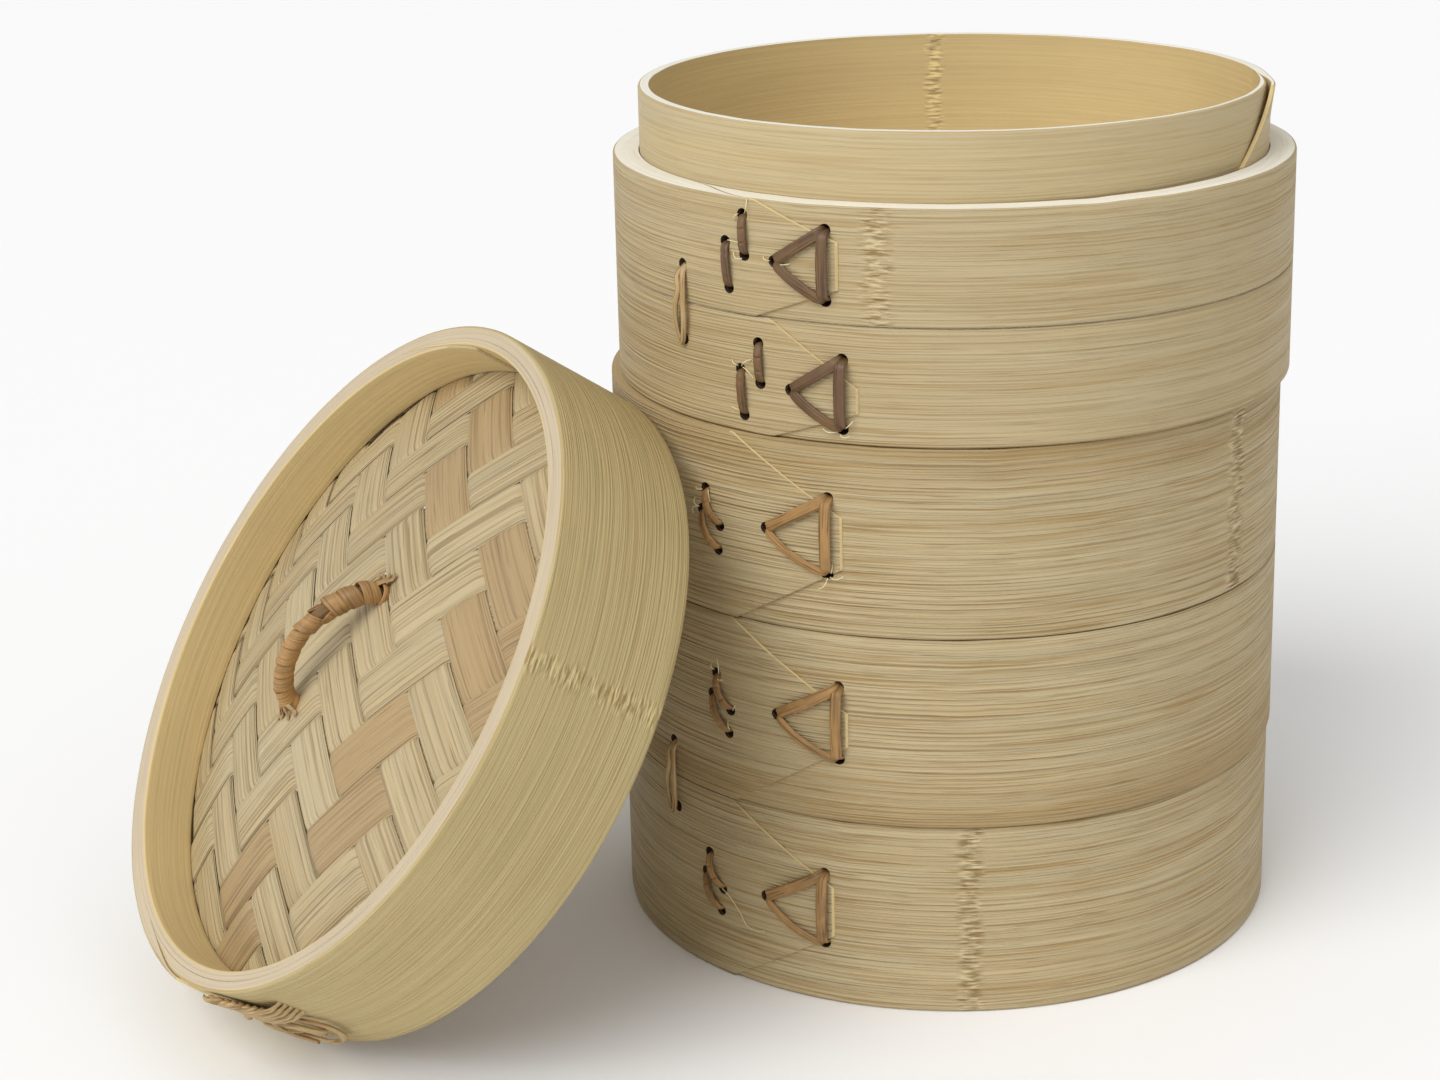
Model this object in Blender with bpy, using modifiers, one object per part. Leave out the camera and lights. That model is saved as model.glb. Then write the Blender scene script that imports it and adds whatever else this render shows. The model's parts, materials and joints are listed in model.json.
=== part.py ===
"""Bamboo steamer basket: a deep base tier, a shallow top tier that nests on it, and a woven lid.

Each tier is bent bamboo bands, the hoops, round an inner wall of thinner rings. The inner wall stands
proud of the hoops as a collar, and the hoops hang below it as a socket, so one tier nests on the next.
The lid leans against the stack, its woven face and its handle outwards.
Metres, +Z up, origin on the table under the middle of the whole group.
"""

import math
from collections import namedtuple

import bmesh
import bpy
from mathutils import Euler, Vector

MM = 0.001

# Clearance between pieces that touch on the real basket.
FIT = 0.3 * MM

# Inner wall and hoops.
COLLAR_RADIUS = 92.1 * MM
INNER_WALL = 3.0 * MM
HOOP_WALL = 7.6 * MM
BOTTOM_HOOP_WALL = 6.8 * MM
HOOP_CHAMFER = 0.8 * MM
COLLAR_STAND = 18.7 * MM
SOCKET_SPARE = 2.0 * MM
# How far the top tier sits off centre, as a share of the play between collar and socket.
TIER_SHIFT = 0.6

# Slatted floor of a tier.
SLAT_COUNT = 9
SLAT_GAP = 3.5 * MM
SLAT_THICKNESS = 3.0 * MM
BAR_COUNT = 2
BAR_WIDTH = 9.0 * MM
BAR_HEIGHT = 6.0 * MM
BAR_SPACING = 76.0 * MM
BAR_SILL = 3.0 * MM
FLOOR_RING_WALL = 2.8 * MM
FLOOR_RING_HEIGHT = 8.0 * MM

# Rattan: a strand, the hole that it goes into, and how far it stands off a curved band.
STRAND_RADIUS = 1.0 * MM
PEG_DEPTH = 2.4 * MM
HOLE_DEPTH = 2.8 * MM
STRAND_LIFT = 0.8 * MM
LACE_HOLE_GAP = 3.4 * MM
TIE_HALF_HEIGHT = 10.5 * MM

# Lid.
LID_HEIGHT = 44.1 * MM
LID_PLAY = 3.3 * MM
LID_WALL = 4.3 * MM
LID_RING_WALL = 2.6 * MM
LID_SEAT_HEIGHT = 4.0 * MM
WEAVE_THICKNESS = 2.4 * MM
DOME_RISE = 16.7 * MM
HANDLE_SPAN = 42.0 * MM
HANDLE_RISE = 12.0 * MM
HANDLE_RADIUS = 3.2 * MM
# The grip leaves the weave upright for a short way, and a lower fullness makes its arch squarer.
HANDLE_SHOULDER = 1.0 * MM
HANDLE_FULLNESS = 0.6
HANDLE_TURN = math.radians(66.6)
HANDLE_BAR_LENGTH = 62.0 * MM
HANDLE_BAR_WIDTH = 11.0 * MM
HANDLE_BAR_THICKNESS = 3.0 * MM
LID_LACING_ANGLE = math.radians(-70.0)

# How the lid leans: where it stands round the base, which way its face looks, and how steeply.
LEAN_BEARING = math.radians(204.3)
LEAN_HEADING = math.radians(209.6)
LEAN_TILT = math.radians(34.3)
LEAN_GAP = 0.6 * MM

# How finely the round shapes are divided.
HOOP_SIDES = 52
RING_SIDES = 36
ROUND_SIDES = 8
DOME_STEPS = 7
ARCH_STEPS = 12

# The lacing of a hoop's lap. Reach and back are arc lengths back from the lap's tip, and heights are from
# the lacing's own middle.
Lace = namedtuple("Lace", "reach rise stitches")
Stitch = namedtuple("Stitch", "back height length slant")
SHORT_LACE = Lace(
    15.3 * MM,
    9.7 * MM,
    (Stitch(25.3 * MM, 6.2 * MM, 11.0 * MM, 0.5 * MM), Stitch(31.2 * MM, -2.7 * MM, 12.6 * MM, 1.0 * MM)),
)
DEEP_LACE = Lace(
    19.0 * MM,
    10.8 * MM,
    (Stitch(38.0 * MM, 2.6 * MM, 9.8 * MM, 5.2 * MM), Stitch(39.2 * MM, -4.2 * MM, 10.4 * MM, 6.2 * MM)),
)

# Hoops from the bottom up: pitch is a hoop's height with its share of the seam.
Hoop = namedtuple("Hoop", "pitch wall lap_angle lace_share lace")
Tier = namedtuple("Tier", "name hoops tie_angle floor_turn")
BASE_TIER = Tier(
    "base",
    (
        Hoop(56.6 * MM, BOTTOM_HOOP_WALL, math.radians(-113.3), 0.51, DEEP_LACE),
        Hoop(55.7 * MM, HOOP_WALL, math.radians(-110.3), 0.53, DEEP_LACE),
        Hoop(54.3 * MM, HOOP_WALL, math.radians(-111.7), 0.52, DEEP_LACE),
    ),
    math.radians(-145.2),
    math.radians(25.0),
)
TOP_TIER = Tier(
    "top",
    (
        Hoop(33.0 * MM, HOOP_WALL, math.radians(-110.5), 0.42, SHORT_LACE),
        Hoop(32.4 * MM, HOOP_WALL, math.radians(-113.1), 0.49, SHORT_LACE),
    ),
    math.radians(-141.3),
    math.radians(-10.0),
)

# Sizes that follow from the ones above.
HOOP_BORE = COLLAR_RADIUS + FIT
TIER_INSIDE = COLLAR_RADIUS - INNER_WALL
SOCKET_DEPTH = COLLAR_STAND + SOCKET_SPARE
LID_BORE = COLLAR_RADIUS + LID_PLAY
LID_RADIUS = LID_BORE + LID_WALL
LID_RING_BORE = LID_BORE - FIT - LID_RING_WALL
LID_RECESS = LID_HEIGHT - SOCKET_DEPTH - LID_SEAT_HEIGHT - FIT - WEAVE_THICKNESS
MAT = {}


def tier_height(tier):
    return sum(hoop.pitch for hoop in tier.hoops)


def socket_radius(hoop):
    """The lowest hoop's inner wrap stops short, which leaves its outer half as the socket."""
    return HOOP_BORE + hoop.wall / 2


# Scene helpers


def new_collection(name, shown):
    collection = bpy.data.collections.new(name)
    collection.hide_render = not shown
    bpy.context.scene.collection.children.link(collection)
    return collection


def make_material(name, colour, roughness):
    material = bpy.data.materials.new(name)
    material.use_nodes = True
    shader = material.node_tree.nodes["Principled BSDF"]
    shader.inputs["Base Color"].default_value = (*colour, 1.0)
    shader.inputs["Roughness"].default_value = roughness
    shader.inputs["Metallic"].default_value = 0.0
    MAT[name] = material


def add_part(name, data, parent, material):
    part = bpy.data.objects.new(name, data)
    data.materials.clear()
    data.materials.append(MAT[material])
    PARTS.objects.link(part)
    part.parent = parent
    return part


def add_axis(name, parent, location, rotation=(0.0, 0.0, 0.0)):
    axis = bpy.data.objects.new(name, None)
    axis.location = location
    axis.rotation_euler = rotation
    axis.empty_display_size = 20 * MM
    PARTS.objects.link(axis)
    axis.parent = parent
    return axis


def on_band(radius, angle, height):
    return Vector((radius * math.cos(angle), radius * math.sin(angle), height))


# Shapes


def turned(name, profile, sides, parent, material):
    """A ring from its closed section of (radius, height), which runs down the outer side first."""
    mesh = bpy.data.meshes.new(name)
    corners = [(radius, 0.0, height) for radius, height in profile]
    edges = [(i, (i + 1) % len(corners)) for i in range(len(corners))]
    mesh.from_pydata(corners, edges, [])
    ring = add_part(name, mesh, parent, material)
    screw = ring.modifiers.new("turn", "SCREW")
    screw.steps = sides
    screw.render_steps = sides
    screw.use_merge_vertices = True
    screw.merge_threshold = 0.00001
    screw.use_smooth_shade = True
    return ring


def flat_piece(name, outline, bottom, thickness, parent, material):
    """A board from its outline seen from above."""
    curve = bpy.data.curves.new(name, "CURVE")
    curve.dimensions = "2D"
    curve.fill_mode = "BOTH"
    curve.extrude = thickness / 2
    spline = curve.splines.new("POLY")
    spline.points.add(len(outline) - 1)
    for point, (x, y) in zip(spline.points, outline):
        point.co = (x, y, 0.0, 1.0)
    spline.use_cyclic_u = True
    board = add_part(name, curve, parent, material)
    board.location.z = bottom + thickness / 2
    return board


def strand(name, points, radius, parent, material):
    """A rattan strand or a stick along straight runs between points."""
    curve = bpy.data.curves.new(name, "CURVE")
    curve.dimensions = "3D"
    curve.bevel_depth = radius
    curve.bevel_resolution = 2
    curve.use_fill_caps = True
    spline = curve.splines.new("POLY")
    spline.points.add(len(points) - 1)
    for spline_point, point in zip(spline.points, points):
        spline_point.co = (*point, 1.0)
    return add_part(name, curve, parent, material)


def add_rod(shape, start, end, radius):
    """Adds a closed rod between two points to a bmesh."""
    run = end - start
    turn = run.to_track_quat("Z", "Y").to_matrix().to_4x4()
    turn.translation = (start + end) / 2
    bmesh.ops.create_cone(
        shape,
        cap_ends=True,
        segments=ROUND_SIDES,
        radius1=radius,
        radius2=radius,
        depth=run.length,
        matrix=turn,
    )


def cut(part, name, shape):
    """Cuts a bmesh of closed shapes out of a part."""
    mesh = bpy.data.meshes.new(name)
    shape.to_mesh(mesh)
    shape.free()
    cutter = bpy.data.objects.new(name, mesh)
    cutter.hide_render = True
    cutter.display_type = "WIRE"
    cutter.parent = part.parent
    CUTTERS.objects.link(cutter)
    boolean = part.modifiers.new(name, "BOOLEAN")
    boolean.operation = "DIFFERENCE"
    boolean.object = cutter


def add_hole(shape, radius, angle, height):
    """A blind hole for a strand, from outside a band of this radius."""
    outside = on_band(radius + STRAND_LIFT, angle, height)
    inside = on_band(radius - HOLE_DEPTH, angle, height)
    add_rod(shape, inside, outside, STRAND_RADIUS + FIT)


# Hoops, rings and their rattan


def band_profile(inner, outer, bottom, top):
    """A band's section with its outer edges eased."""
    return [
        (outer - HOOP_CHAMFER, top),
        (outer, top - HOOP_CHAMFER),
        (outer, bottom + HOOP_CHAMFER),
        (outer - HOOP_CHAMFER, bottom),
        (inner, bottom),
        (inner, top),
    ]


def socket_profile(hoop, outer, top):
    """The lowest hoop of a tier, whose inner wrap is cut back for the collar below."""
    profile = band_profile(HOOP_BORE, outer, 0.0, top)
    bottom_corner = profile.index((HOOP_BORE, 0.0))
    socket = socket_radius(hoop)
    profile[bottom_corner : bottom_corner + 1] = [
        (socket, 0.0),
        (socket, SOCKET_DEPTH),
        (HOOP_BORE, SOCKET_DEPTH),
    ]
    return profile


def lace_route(lace, tip_angle, radius, height):
    """A lap's triangle as (angle, height): from the hole at its point, round the tip, to a hole beside it."""
    point_angle = tip_angle - lace.reach / radius
    side = math.hypot(lace.reach, lace.rise)
    short_of_point = LACE_HOLE_GAP / side
    return [
        (point_angle, height),
        (tip_angle, height + lace.rise),
        (tip_angle, height - lace.rise),
        (point_angle + short_of_point * lace.reach / radius, height - short_of_point * lace.rise),
    ]


def stitch_route(stitch, tip_angle, radius, height):
    """A stitch's upper and lower holes as (angle, height)."""
    middle = tip_angle - stitch.back / radius
    lean = stitch.slant / 2 / radius
    return [
        (middle - lean, height + stitch.height + stitch.length / 2),
        (middle + lean, height + stitch.height - stitch.length / 2),
    ]


def lay_strand(name, route, radii, parent):
    """One strand that lies along a band, with each end pegged into a hole in the band there."""
    lie = max(radii) + FIT + STRAND_LIFT + STRAND_RADIUS
    points = [on_band(lie, angle, height) for angle, height in route]
    points.insert(0, on_band(radii[0] - PEG_DEPTH, *route[0]))
    points.append(on_band(radii[1] - PEG_DEPTH, *route[-1]))
    return strand(name, points, STRAND_RADIUS, parent, "rattan")


def lay_on_band(name, route, radius, parent, holes):
    """A strand on one band, with its two holes added to the band's cutter."""
    lay_strand(name, route, (radius, radius), parent)
    for angle, height in (route[0], route[-1]):
        add_hole(holes, radius, angle, height)


def make_hoops(tier, axis):
    """The tier's hoops, with the lacings that hold each lap and the ties across each seam."""
    bottom = 0.0
    seams = []
    for number, hoop in enumerate(tier.hoops, 1):
        outer = HOOP_BORE + hoop.wall
        top = bottom + hoop.pitch - FIT
        if number == 1:
            profile = socket_profile(hoop, outer, top)
        else:
            profile = band_profile(HOOP_BORE, outer, bottom, top)
        band = turned(f"{tier.name}_hoop_{number}", profile, HOOP_SIDES, axis, "hoop")

        middle = bottom + hoop.lace_share * hoop.pitch
        holes = bmesh.new()
        route = lace_route(hoop.lace, hoop.lap_angle, outer, middle)
        lay_on_band(f"{tier.name}_lacing_{number}", route, outer, axis, holes)
        for count, stitch in enumerate(hoop.lace.stitches, 1):
            route = stitch_route(stitch, hoop.lap_angle, outer, middle)
            lay_on_band(f"{tier.name}_stitch_{number}_{count}", route, outer, axis, holes)
        if number > 1:
            add_hole(holes, outer, tier.tie_angle, bottom + TIE_HALF_HEIGHT)
        if number < len(tier.hoops):
            add_hole(holes, outer, tier.tie_angle, top + FIT - TIE_HALF_HEIGHT)
            seams.append((outer, top + FIT))
        cut(band, band.name + "_holes", holes)
        bottom += hoop.pitch

    for number, (outer, seam) in enumerate(seams, 1):
        above = HOOP_BORE + tier.hoops[number].wall
        route = [(tier.tie_angle, seam + TIE_HALF_HEIGHT), (tier.tie_angle, seam - TIE_HALF_HEIGHT)]
        lay_strand(f"{tier.name}_seam_tie_{number}", route, (above, outer), axis)


def inner_ring_levels(tier):
    """The bottom and top of each inner ring: its hoop's, raised by the collar."""
    levels = []
    bottom = SOCKET_DEPTH
    top = COLLAR_STAND
    if tier is TOP_TIER:
        return [(bottom, tier_height(tier) + COLLAR_STAND)]
    for hoop in tier.hoops:
        top += hoop.pitch
        levels.append((bottom, top - (FIT if hoop is not tier.hoops[-1] else 0.0)))
        bottom = top
    return levels


def make_inner_wall(tier, axis):
    for number, (bottom, top) in enumerate(inner_ring_levels(tier), 1):
        profile = [(COLLAR_RADIUS, top), (COLLAR_RADIUS, bottom), (TIER_INSIDE, bottom), (TIER_INSIDE, top)]
        ring = turned(f"{tier.name}_inner_ring_{number}", profile, HOOP_SIDES, axis, "ring")
        if number == 1:
            sockets = bmesh.new()
            for offset in bar_offsets():
                add_bar_hole(sockets, tier, offset)
            cut(ring, ring.name + "_bar_holes", sockets)


# Slatted floor


def bar_offsets():
    return [(i - (BAR_COUNT - 1) / 2) * BAR_SPACING for i in range(BAR_COUNT)]


def bar_bottom():
    return SOCKET_DEPTH + BAR_SILL


def slat_bottom():
    return bar_bottom() + BAR_HEIGHT + FIT


def add_bar_hole(shape, tier, offset):
    """A square hole right through both sides of the ring, in line with one crossbar."""
    turn = Euler((0.0, 0.0, tier.floor_turn)).to_matrix().to_4x4()
    made = bmesh.ops.create_cube(shape, size=1.0)
    size = (BAR_WIDTH + 2 * FIT, 2.2 * COLLAR_RADIUS, BAR_HEIGHT + 2 * FIT)
    bmesh.ops.scale(shape, vec=size, verts=made["verts"])
    centre = Vector((offset, 0.0, bar_bottom() + BAR_HEIGHT / 2))
    bmesh.ops.translate(shape, vec=centre, verts=made["verts"])
    bmesh.ops.transform(shape, matrix=turn, verts=made["verts"])


def chord(radius, offset):
    return math.sqrt(radius**2 - offset**2)


def strip_outline(radius, near, far):
    """A straight strip between two offsets, its ends cut to stay inside a circle."""
    return [
        (chord(radius, near), near),
        (chord(radius, far), far),
        (-chord(radius, far), far),
        (-chord(radius, near), near),
    ]


def make_floor(tier, axis):
    """Slats on two crossbars, held down by a thin ring."""
    turned_axis = add_axis(f"{tier.name}_floor_axis", axis, (0.0, 0.0, 0.0), (0.0, 0.0, tier.floor_turn))
    for number, offset in enumerate(bar_offsets(), 1):
        outline = strip_outline(COLLAR_RADIUS - FIT, offset - BAR_WIDTH / 2, offset + BAR_WIDTH / 2)
        across = [(y, x) for x, y in reversed(outline)]
        name = f"{tier.name}_crossbar_{number}"
        flat_piece(name, across, bar_bottom(), BAR_HEIGHT, turned_axis, "slat")

    slat_circle = TIER_INSIDE - FIT
    pitch = (2 * slat_circle - FLOOR_RING_WALL) / SLAT_COUNT
    for i in range(SLAT_COUNT):
        middle = (i - (SLAT_COUNT - 1) / 2) * pitch
        half = (pitch - SLAT_GAP) / 2
        outline = strip_outline(slat_circle * math.cos(math.pi / HOOP_SIDES), middle - half, middle + half)
        flat_piece(f"{tier.name}_slat_{i + 1}", outline, slat_bottom(), SLAT_THICKNESS, turned_axis, "slat")

    bottom = slat_bottom() + SLAT_THICKNESS + FIT
    outer = slat_circle * math.cos(math.pi / HOOP_SIDES)
    inner = outer - FLOOR_RING_WALL
    profile = [
        (outer, bottom + FLOOR_RING_HEIGHT),
        (outer, bottom),
        (inner, bottom),
        (inner, bottom + FLOOR_RING_HEIGHT),
    ]
    turned(f"{tier.name}_floor_ring", profile, RING_SIDES, axis, "ring")


def make_tier(tier, axis):
    make_hoops(tier, axis)
    make_inner_wall(tier, axis)
    make_floor(tier, axis)


# Lid, in its own frame: the handle's side up, its rim at height 0.


def dome_height(radius):
    """The woven dome's upper face."""
    return -LID_RECESS + DOME_RISE * (1 - (radius / LID_RING_BORE) ** 2)


def make_lid_bands(axis):
    profile = band_profile(LID_BORE, LID_RADIUS, -LID_HEIGHT, 0.0)
    band = turned("lid_hoop", profile, HOOP_SIDES, axis, "hoop")
    holes = bmesh.new()
    route = lace_route(SHORT_LACE, LID_LACING_ANGLE, LID_RADIUS, -LID_HEIGHT / 2)
    lay_on_band("lid_lacing", route, LID_RADIUS, axis, holes)
    cut(band, "lid_hoop_holes", holes)

    outer = LID_BORE - FIT
    clamp_bottom = -LID_RECESS + FIT
    clamp = [(outer, 0.0), (outer, clamp_bottom), (LID_RING_BORE, clamp_bottom), (LID_RING_BORE, 0.0)]
    turned("lid_clamp_ring", clamp, HOOP_SIDES, axis, "ring")
    seat_top = -LID_RECESS - WEAVE_THICKNESS - FIT
    seat_bottom = SOCKET_DEPTH - LID_HEIGHT
    seat = [(outer, seat_top), (outer, seat_bottom), (LID_RING_BORE, seat_bottom), (LID_RING_BORE, seat_top)]
    turned("lid_seat_ring", seat, HOOP_SIDES, axis, "ring")


def make_weave(axis):
    """The woven dome as one sheet, with a flat edge between the two rings and holes for the handle."""
    radii = [LID_RING_BORE * step / DOME_STEPS for step in range(DOME_STEPS + 1)]
    top_face = [(radius, dome_height(radius)) for radius in radii] + [(LID_BORE - FIT, -LID_RECESS)]
    bottom_face = [(radius, height - WEAVE_THICKNESS) for radius, height in reversed(top_face)]
    mesh = bpy.data.meshes.new("lid_weave")
    corners = [(radius, 0.0, height) for radius, height in top_face + bottom_face]
    mesh.from_pydata(corners, [(i, i + 1) for i in range(len(corners) - 1)], [])
    sheet = add_part("lid_weave", mesh, axis, "weave")
    screw = sheet.modifiers.new("turn", "SCREW")
    screw.steps = HOOP_SIDES
    screw.render_steps = HOOP_SIDES
    screw.use_merge_vertices = True
    screw.merge_threshold = 0.00001
    holes = bmesh.new()
    for foot in handle_feet():
        above = foot + Vector((0.0, 0.0, HANDLE_RADIUS))
        below = foot - Vector((0.0, 0.0, 2 * WEAVE_THICKNESS + HANDLE_RADIUS))
        add_rod(holes, below, above, HANDLE_RADIUS + FIT)
    cut(sheet, "lid_weave_holes", holes)


def handle_feet():
    """Where the handle's two legs go through the dome."""
    half = HANDLE_SPAN / 2
    height = dome_height(half)
    return [on_band(half, HANDLE_TURN + math.pi, height), on_band(half, HANDLE_TURN, height)]


def handle_bar_top():
    return dome_height(HANDLE_BAR_LENGTH / 2) - WEAVE_THICKNESS - FIT


def make_handle(axis):
    """An arched grip of wrapped rattan, tied down to a bar under the dome."""
    leg_end = handle_bar_top() + FIT
    first, last = handle_feet()
    points = [Vector((first.x, first.y, leg_end))]
    for step in range(ARCH_STEPS + 1):
        share = step / ARCH_STEPS
        bow = math.sin(math.pi * share) ** HANDLE_FULLNESS
        lift = HANDLE_SHOULDER + (HANDLE_RISE - HANDLE_SHOULDER) * bow
        points.append(first.lerp(last, share) + Vector((0.0, 0.0, lift)))
    points.append(Vector((last.x, last.y, leg_end)))
    strand("lid_handle", points, HANDLE_RADIUS, axis, "rattan")

    turn = add_axis("lid_handle_axis", axis, (0.0, 0.0, 0.0), (0.0, 0.0, HANDLE_TURN))
    half_length = HANDLE_BAR_LENGTH / 2
    half_width = HANDLE_BAR_WIDTH / 2
    outline = [
        (half_length, -half_width),
        (half_length, half_width),
        (-half_length, half_width),
        (-half_length, -half_width),
    ]
    bottom = handle_bar_top() - HANDLE_BAR_THICKNESS
    flat_piece("lid_handle_bar", outline, bottom, HANDLE_BAR_THICKNESS, turn, "slat")


def lean_distance():
    """How far from the base's axis the lid's open rim has its centre when its top edge meets the base."""
    face = Euler((math.pi / 2 - LEAN_TILT, 0.0, LEAN_HEADING + math.pi / 2)).to_matrix()
    rim = [face @ on_band(LID_RADIUS, math.radians(step), 0.0) for step in range(0, 360, 2)]
    base_radius = HOOP_BORE + HOOP_WALL
    low = base_radius
    high = base_radius + 2 * LID_RADIUS
    for _ in range(40):
        middle = (low + high) / 2
        centre = on_band(middle, LEAN_BEARING, 0.0)
        nearest = min(math.hypot(centre.x + point.x, centre.y + point.y) for point in rim if point.z > 0)
        if nearest < base_radius + LEAN_GAP:
            low = middle
        else:
            high = middle
    return high


def lid_pose():
    """The lid's rim centre and turn, with its open edge on the table and against the base."""
    turn = (math.pi / 2 - LEAN_TILT, 0.0, LEAN_HEADING + math.pi / 2)
    outward = Euler(turn).to_matrix() @ Vector((0.0, 0.0, 1.0))
    open_centre = on_band(lean_distance(), LEAN_BEARING, LID_RADIUS * math.cos(LEAN_TILT))
    return open_centre + outward * LID_HEIGHT, turn


# The whole group


def shade_round_parts():
    for part in PARTS.objects:
        if part.type == "MESH":
            part.data.shade_smooth()
            part.data.set_sharp_from_angle(angle=math.radians(35))


def centre_on_table(stand):
    """Moves the group so that its box is centred on the origin and stands on the table."""
    bpy.context.view_layer.update()
    graph = bpy.context.evaluated_depsgraph_get()
    points = []
    for part in PARTS.objects:
        if part.type != "EMPTY":
            shown = part.evaluated_get(graph)
            points += [shown.matrix_world @ vertex.co for vertex in shown.to_mesh().vertices]
            shown.to_mesh_clear()
    low = Vector(map(min, *points))
    high = Vector(map(max, *points))
    stand.location = (-(low.x + high.x) / 2, -(low.y + high.y) / 2, -low.z)
    bpy.context.view_layer.update()


def main():
    make_material("hoop", (0.66, 0.56, 0.38), 0.55)
    make_material("ring", (0.72, 0.58, 0.34), 0.5)
    make_material("slat", (0.68, 0.55, 0.35), 0.6)
    make_material("weave", (0.67, 0.57, 0.38), 0.6)
    make_material("rattan", (0.33, 0.20, 0.12), 0.5)

    stand = add_axis("steamer", None, (0.0, 0.0, 0.0))
    base_axis = add_axis("base_tier_axis", stand, (0.0, 0.0, 0.0))
    make_tier(BASE_TIER, base_axis)

    play = socket_radius(TOP_TIER.hoops[0]) - COLLAR_RADIUS
    top_axis = add_axis("top_tier_axis", stand, (TIER_SHIFT * play, 0.0, tier_height(BASE_TIER)))
    make_tier(TOP_TIER, top_axis)

    lid_centre, lid_turn = lid_pose()
    lid_axis = add_axis("lid_axis", stand, lid_centre, lid_turn)
    make_lid_bands(lid_axis)
    make_weave(lid_axis)
    make_handle(lid_axis)

    shade_round_parts()
    centre_on_table(stand)


for old in list(bpy.data.objects):
    bpy.data.objects.remove(old)
PARTS = new_collection("bamboo_steamer_basket", True)
CUTTERS = new_collection("cutters", False)
main()
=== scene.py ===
"""Bamboo steamer basket: the finished pieces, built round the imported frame.

Every piece has a home, which is the base tier, the top tier or the lid. It is made in the frame of its home's
axis and is then put in its place. Metres, +Z up. A strip of bamboo or rattan carries a fibre map, whose first
number runs along the fibres and whose second runs across them, both in metres.
"""

import json
import math
import random
from collections import namedtuple

import bmesh
import bpy
from bpy.props import FloatProperty, FloatVectorProperty, IntProperty, PointerProperty
from mathutils import Matrix, Vector, noise


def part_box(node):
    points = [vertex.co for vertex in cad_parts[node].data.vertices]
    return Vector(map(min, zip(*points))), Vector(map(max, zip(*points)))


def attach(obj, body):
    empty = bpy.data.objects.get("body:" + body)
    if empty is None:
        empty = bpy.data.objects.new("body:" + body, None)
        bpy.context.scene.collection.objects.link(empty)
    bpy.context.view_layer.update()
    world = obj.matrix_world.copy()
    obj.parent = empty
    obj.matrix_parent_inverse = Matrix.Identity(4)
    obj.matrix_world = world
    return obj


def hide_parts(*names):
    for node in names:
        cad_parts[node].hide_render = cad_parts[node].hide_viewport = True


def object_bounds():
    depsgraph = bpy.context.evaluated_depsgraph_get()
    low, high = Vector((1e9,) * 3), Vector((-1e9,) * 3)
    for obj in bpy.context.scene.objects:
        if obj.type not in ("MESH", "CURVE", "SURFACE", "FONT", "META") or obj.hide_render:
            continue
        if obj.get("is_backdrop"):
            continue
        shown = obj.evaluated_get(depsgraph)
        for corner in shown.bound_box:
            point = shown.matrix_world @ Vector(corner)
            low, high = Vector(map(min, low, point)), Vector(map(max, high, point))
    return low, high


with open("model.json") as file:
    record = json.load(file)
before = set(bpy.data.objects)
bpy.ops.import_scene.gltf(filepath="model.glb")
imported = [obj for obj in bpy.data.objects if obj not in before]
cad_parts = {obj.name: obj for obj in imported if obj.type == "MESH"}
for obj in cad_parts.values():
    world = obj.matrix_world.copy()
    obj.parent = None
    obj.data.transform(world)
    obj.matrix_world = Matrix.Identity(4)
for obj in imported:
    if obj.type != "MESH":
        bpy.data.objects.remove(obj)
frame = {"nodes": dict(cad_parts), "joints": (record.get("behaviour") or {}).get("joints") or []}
CAD_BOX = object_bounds()

bl_info = {
    "name": "Bamboo Steamer",
    "version": (1, 0, 0),
    "blender": (4, 5, 0),
    "location": "View3D > Sidebar > Steamer",
    "description": "Builds a two-tier bamboo steamer with its leaning woven lid",
    "category": "Add Mesh",
}

MM = 0.001
TURN = 2 * math.pi
FIBRE_MAP = "Fibre"
BODIES = {"base": "base_tier", "top": "top_tier", "lid": "lid"}
SOCKETS = {name: name for name in ("Vector", "Geometry", "Material")}  # the group sockets that aren't numbers


# Sizes read from the frame

Ring = namedtuple("Ring", "inner outer bottom top")


def upright_axis(node):
    """The frame of an upright ring: its origin on the axis, at the ring's foot."""
    low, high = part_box(node)
    return Matrix.Translation(((low.x + high.x) / 2, (low.y + high.y) / 2, low.z))


def lid_frame():
    """The lid's frame: its origin in the middle of the rim, +Z out of the woven face, +X level."""
    joint = next(item for item in frame["joints"] if item["child"] == "lid")
    out = Vector(joint["axis"]).normalized()
    level = Vector((0.0, 0.0, 1.0)).cross(out).normalized()
    low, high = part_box("lid_hoop")
    middle = (low + high) / 2
    half = max((vertex.co - middle).dot(out) for vertex in frame["nodes"]["lid_hoop"].data.vertices)
    place = Matrix((level, out.cross(level), out)).transposed().to_4x4()
    place.translation = middle + out * half
    return place


PLACES = {"base": upright_axis("base_hoop_1"), "top": upright_axis("top_hoop_1"), "lid": lid_frame()}


def local_points(node, place):
    back = place.inverted()
    return [back @ vertex.co for vertex in frame["nodes"][node].data.vertices]


def ring_sizes(node, place):
    """A CAD ring's radii and heights in the frame of its axis."""
    points = local_points(node, place)
    spans = [math.hypot(point.x, point.y) for point in points]
    heights = [point.z for point in points]
    return Ring(min(spans), max(spans), min(heights), max(heights))


def angle_of(point):
    return math.atan2(point.y, point.x)


def on_band(radius, angle, height):
    return Vector((radius * math.cos(angle), radius * math.sin(angle), height))


def smooth(share):
    share = min(max(share, 0.0), 1.0)
    return share * share * (3 - 2 * share)


def lerp(start, end, share):
    return start + (end - start) * share


# Node trees


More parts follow.
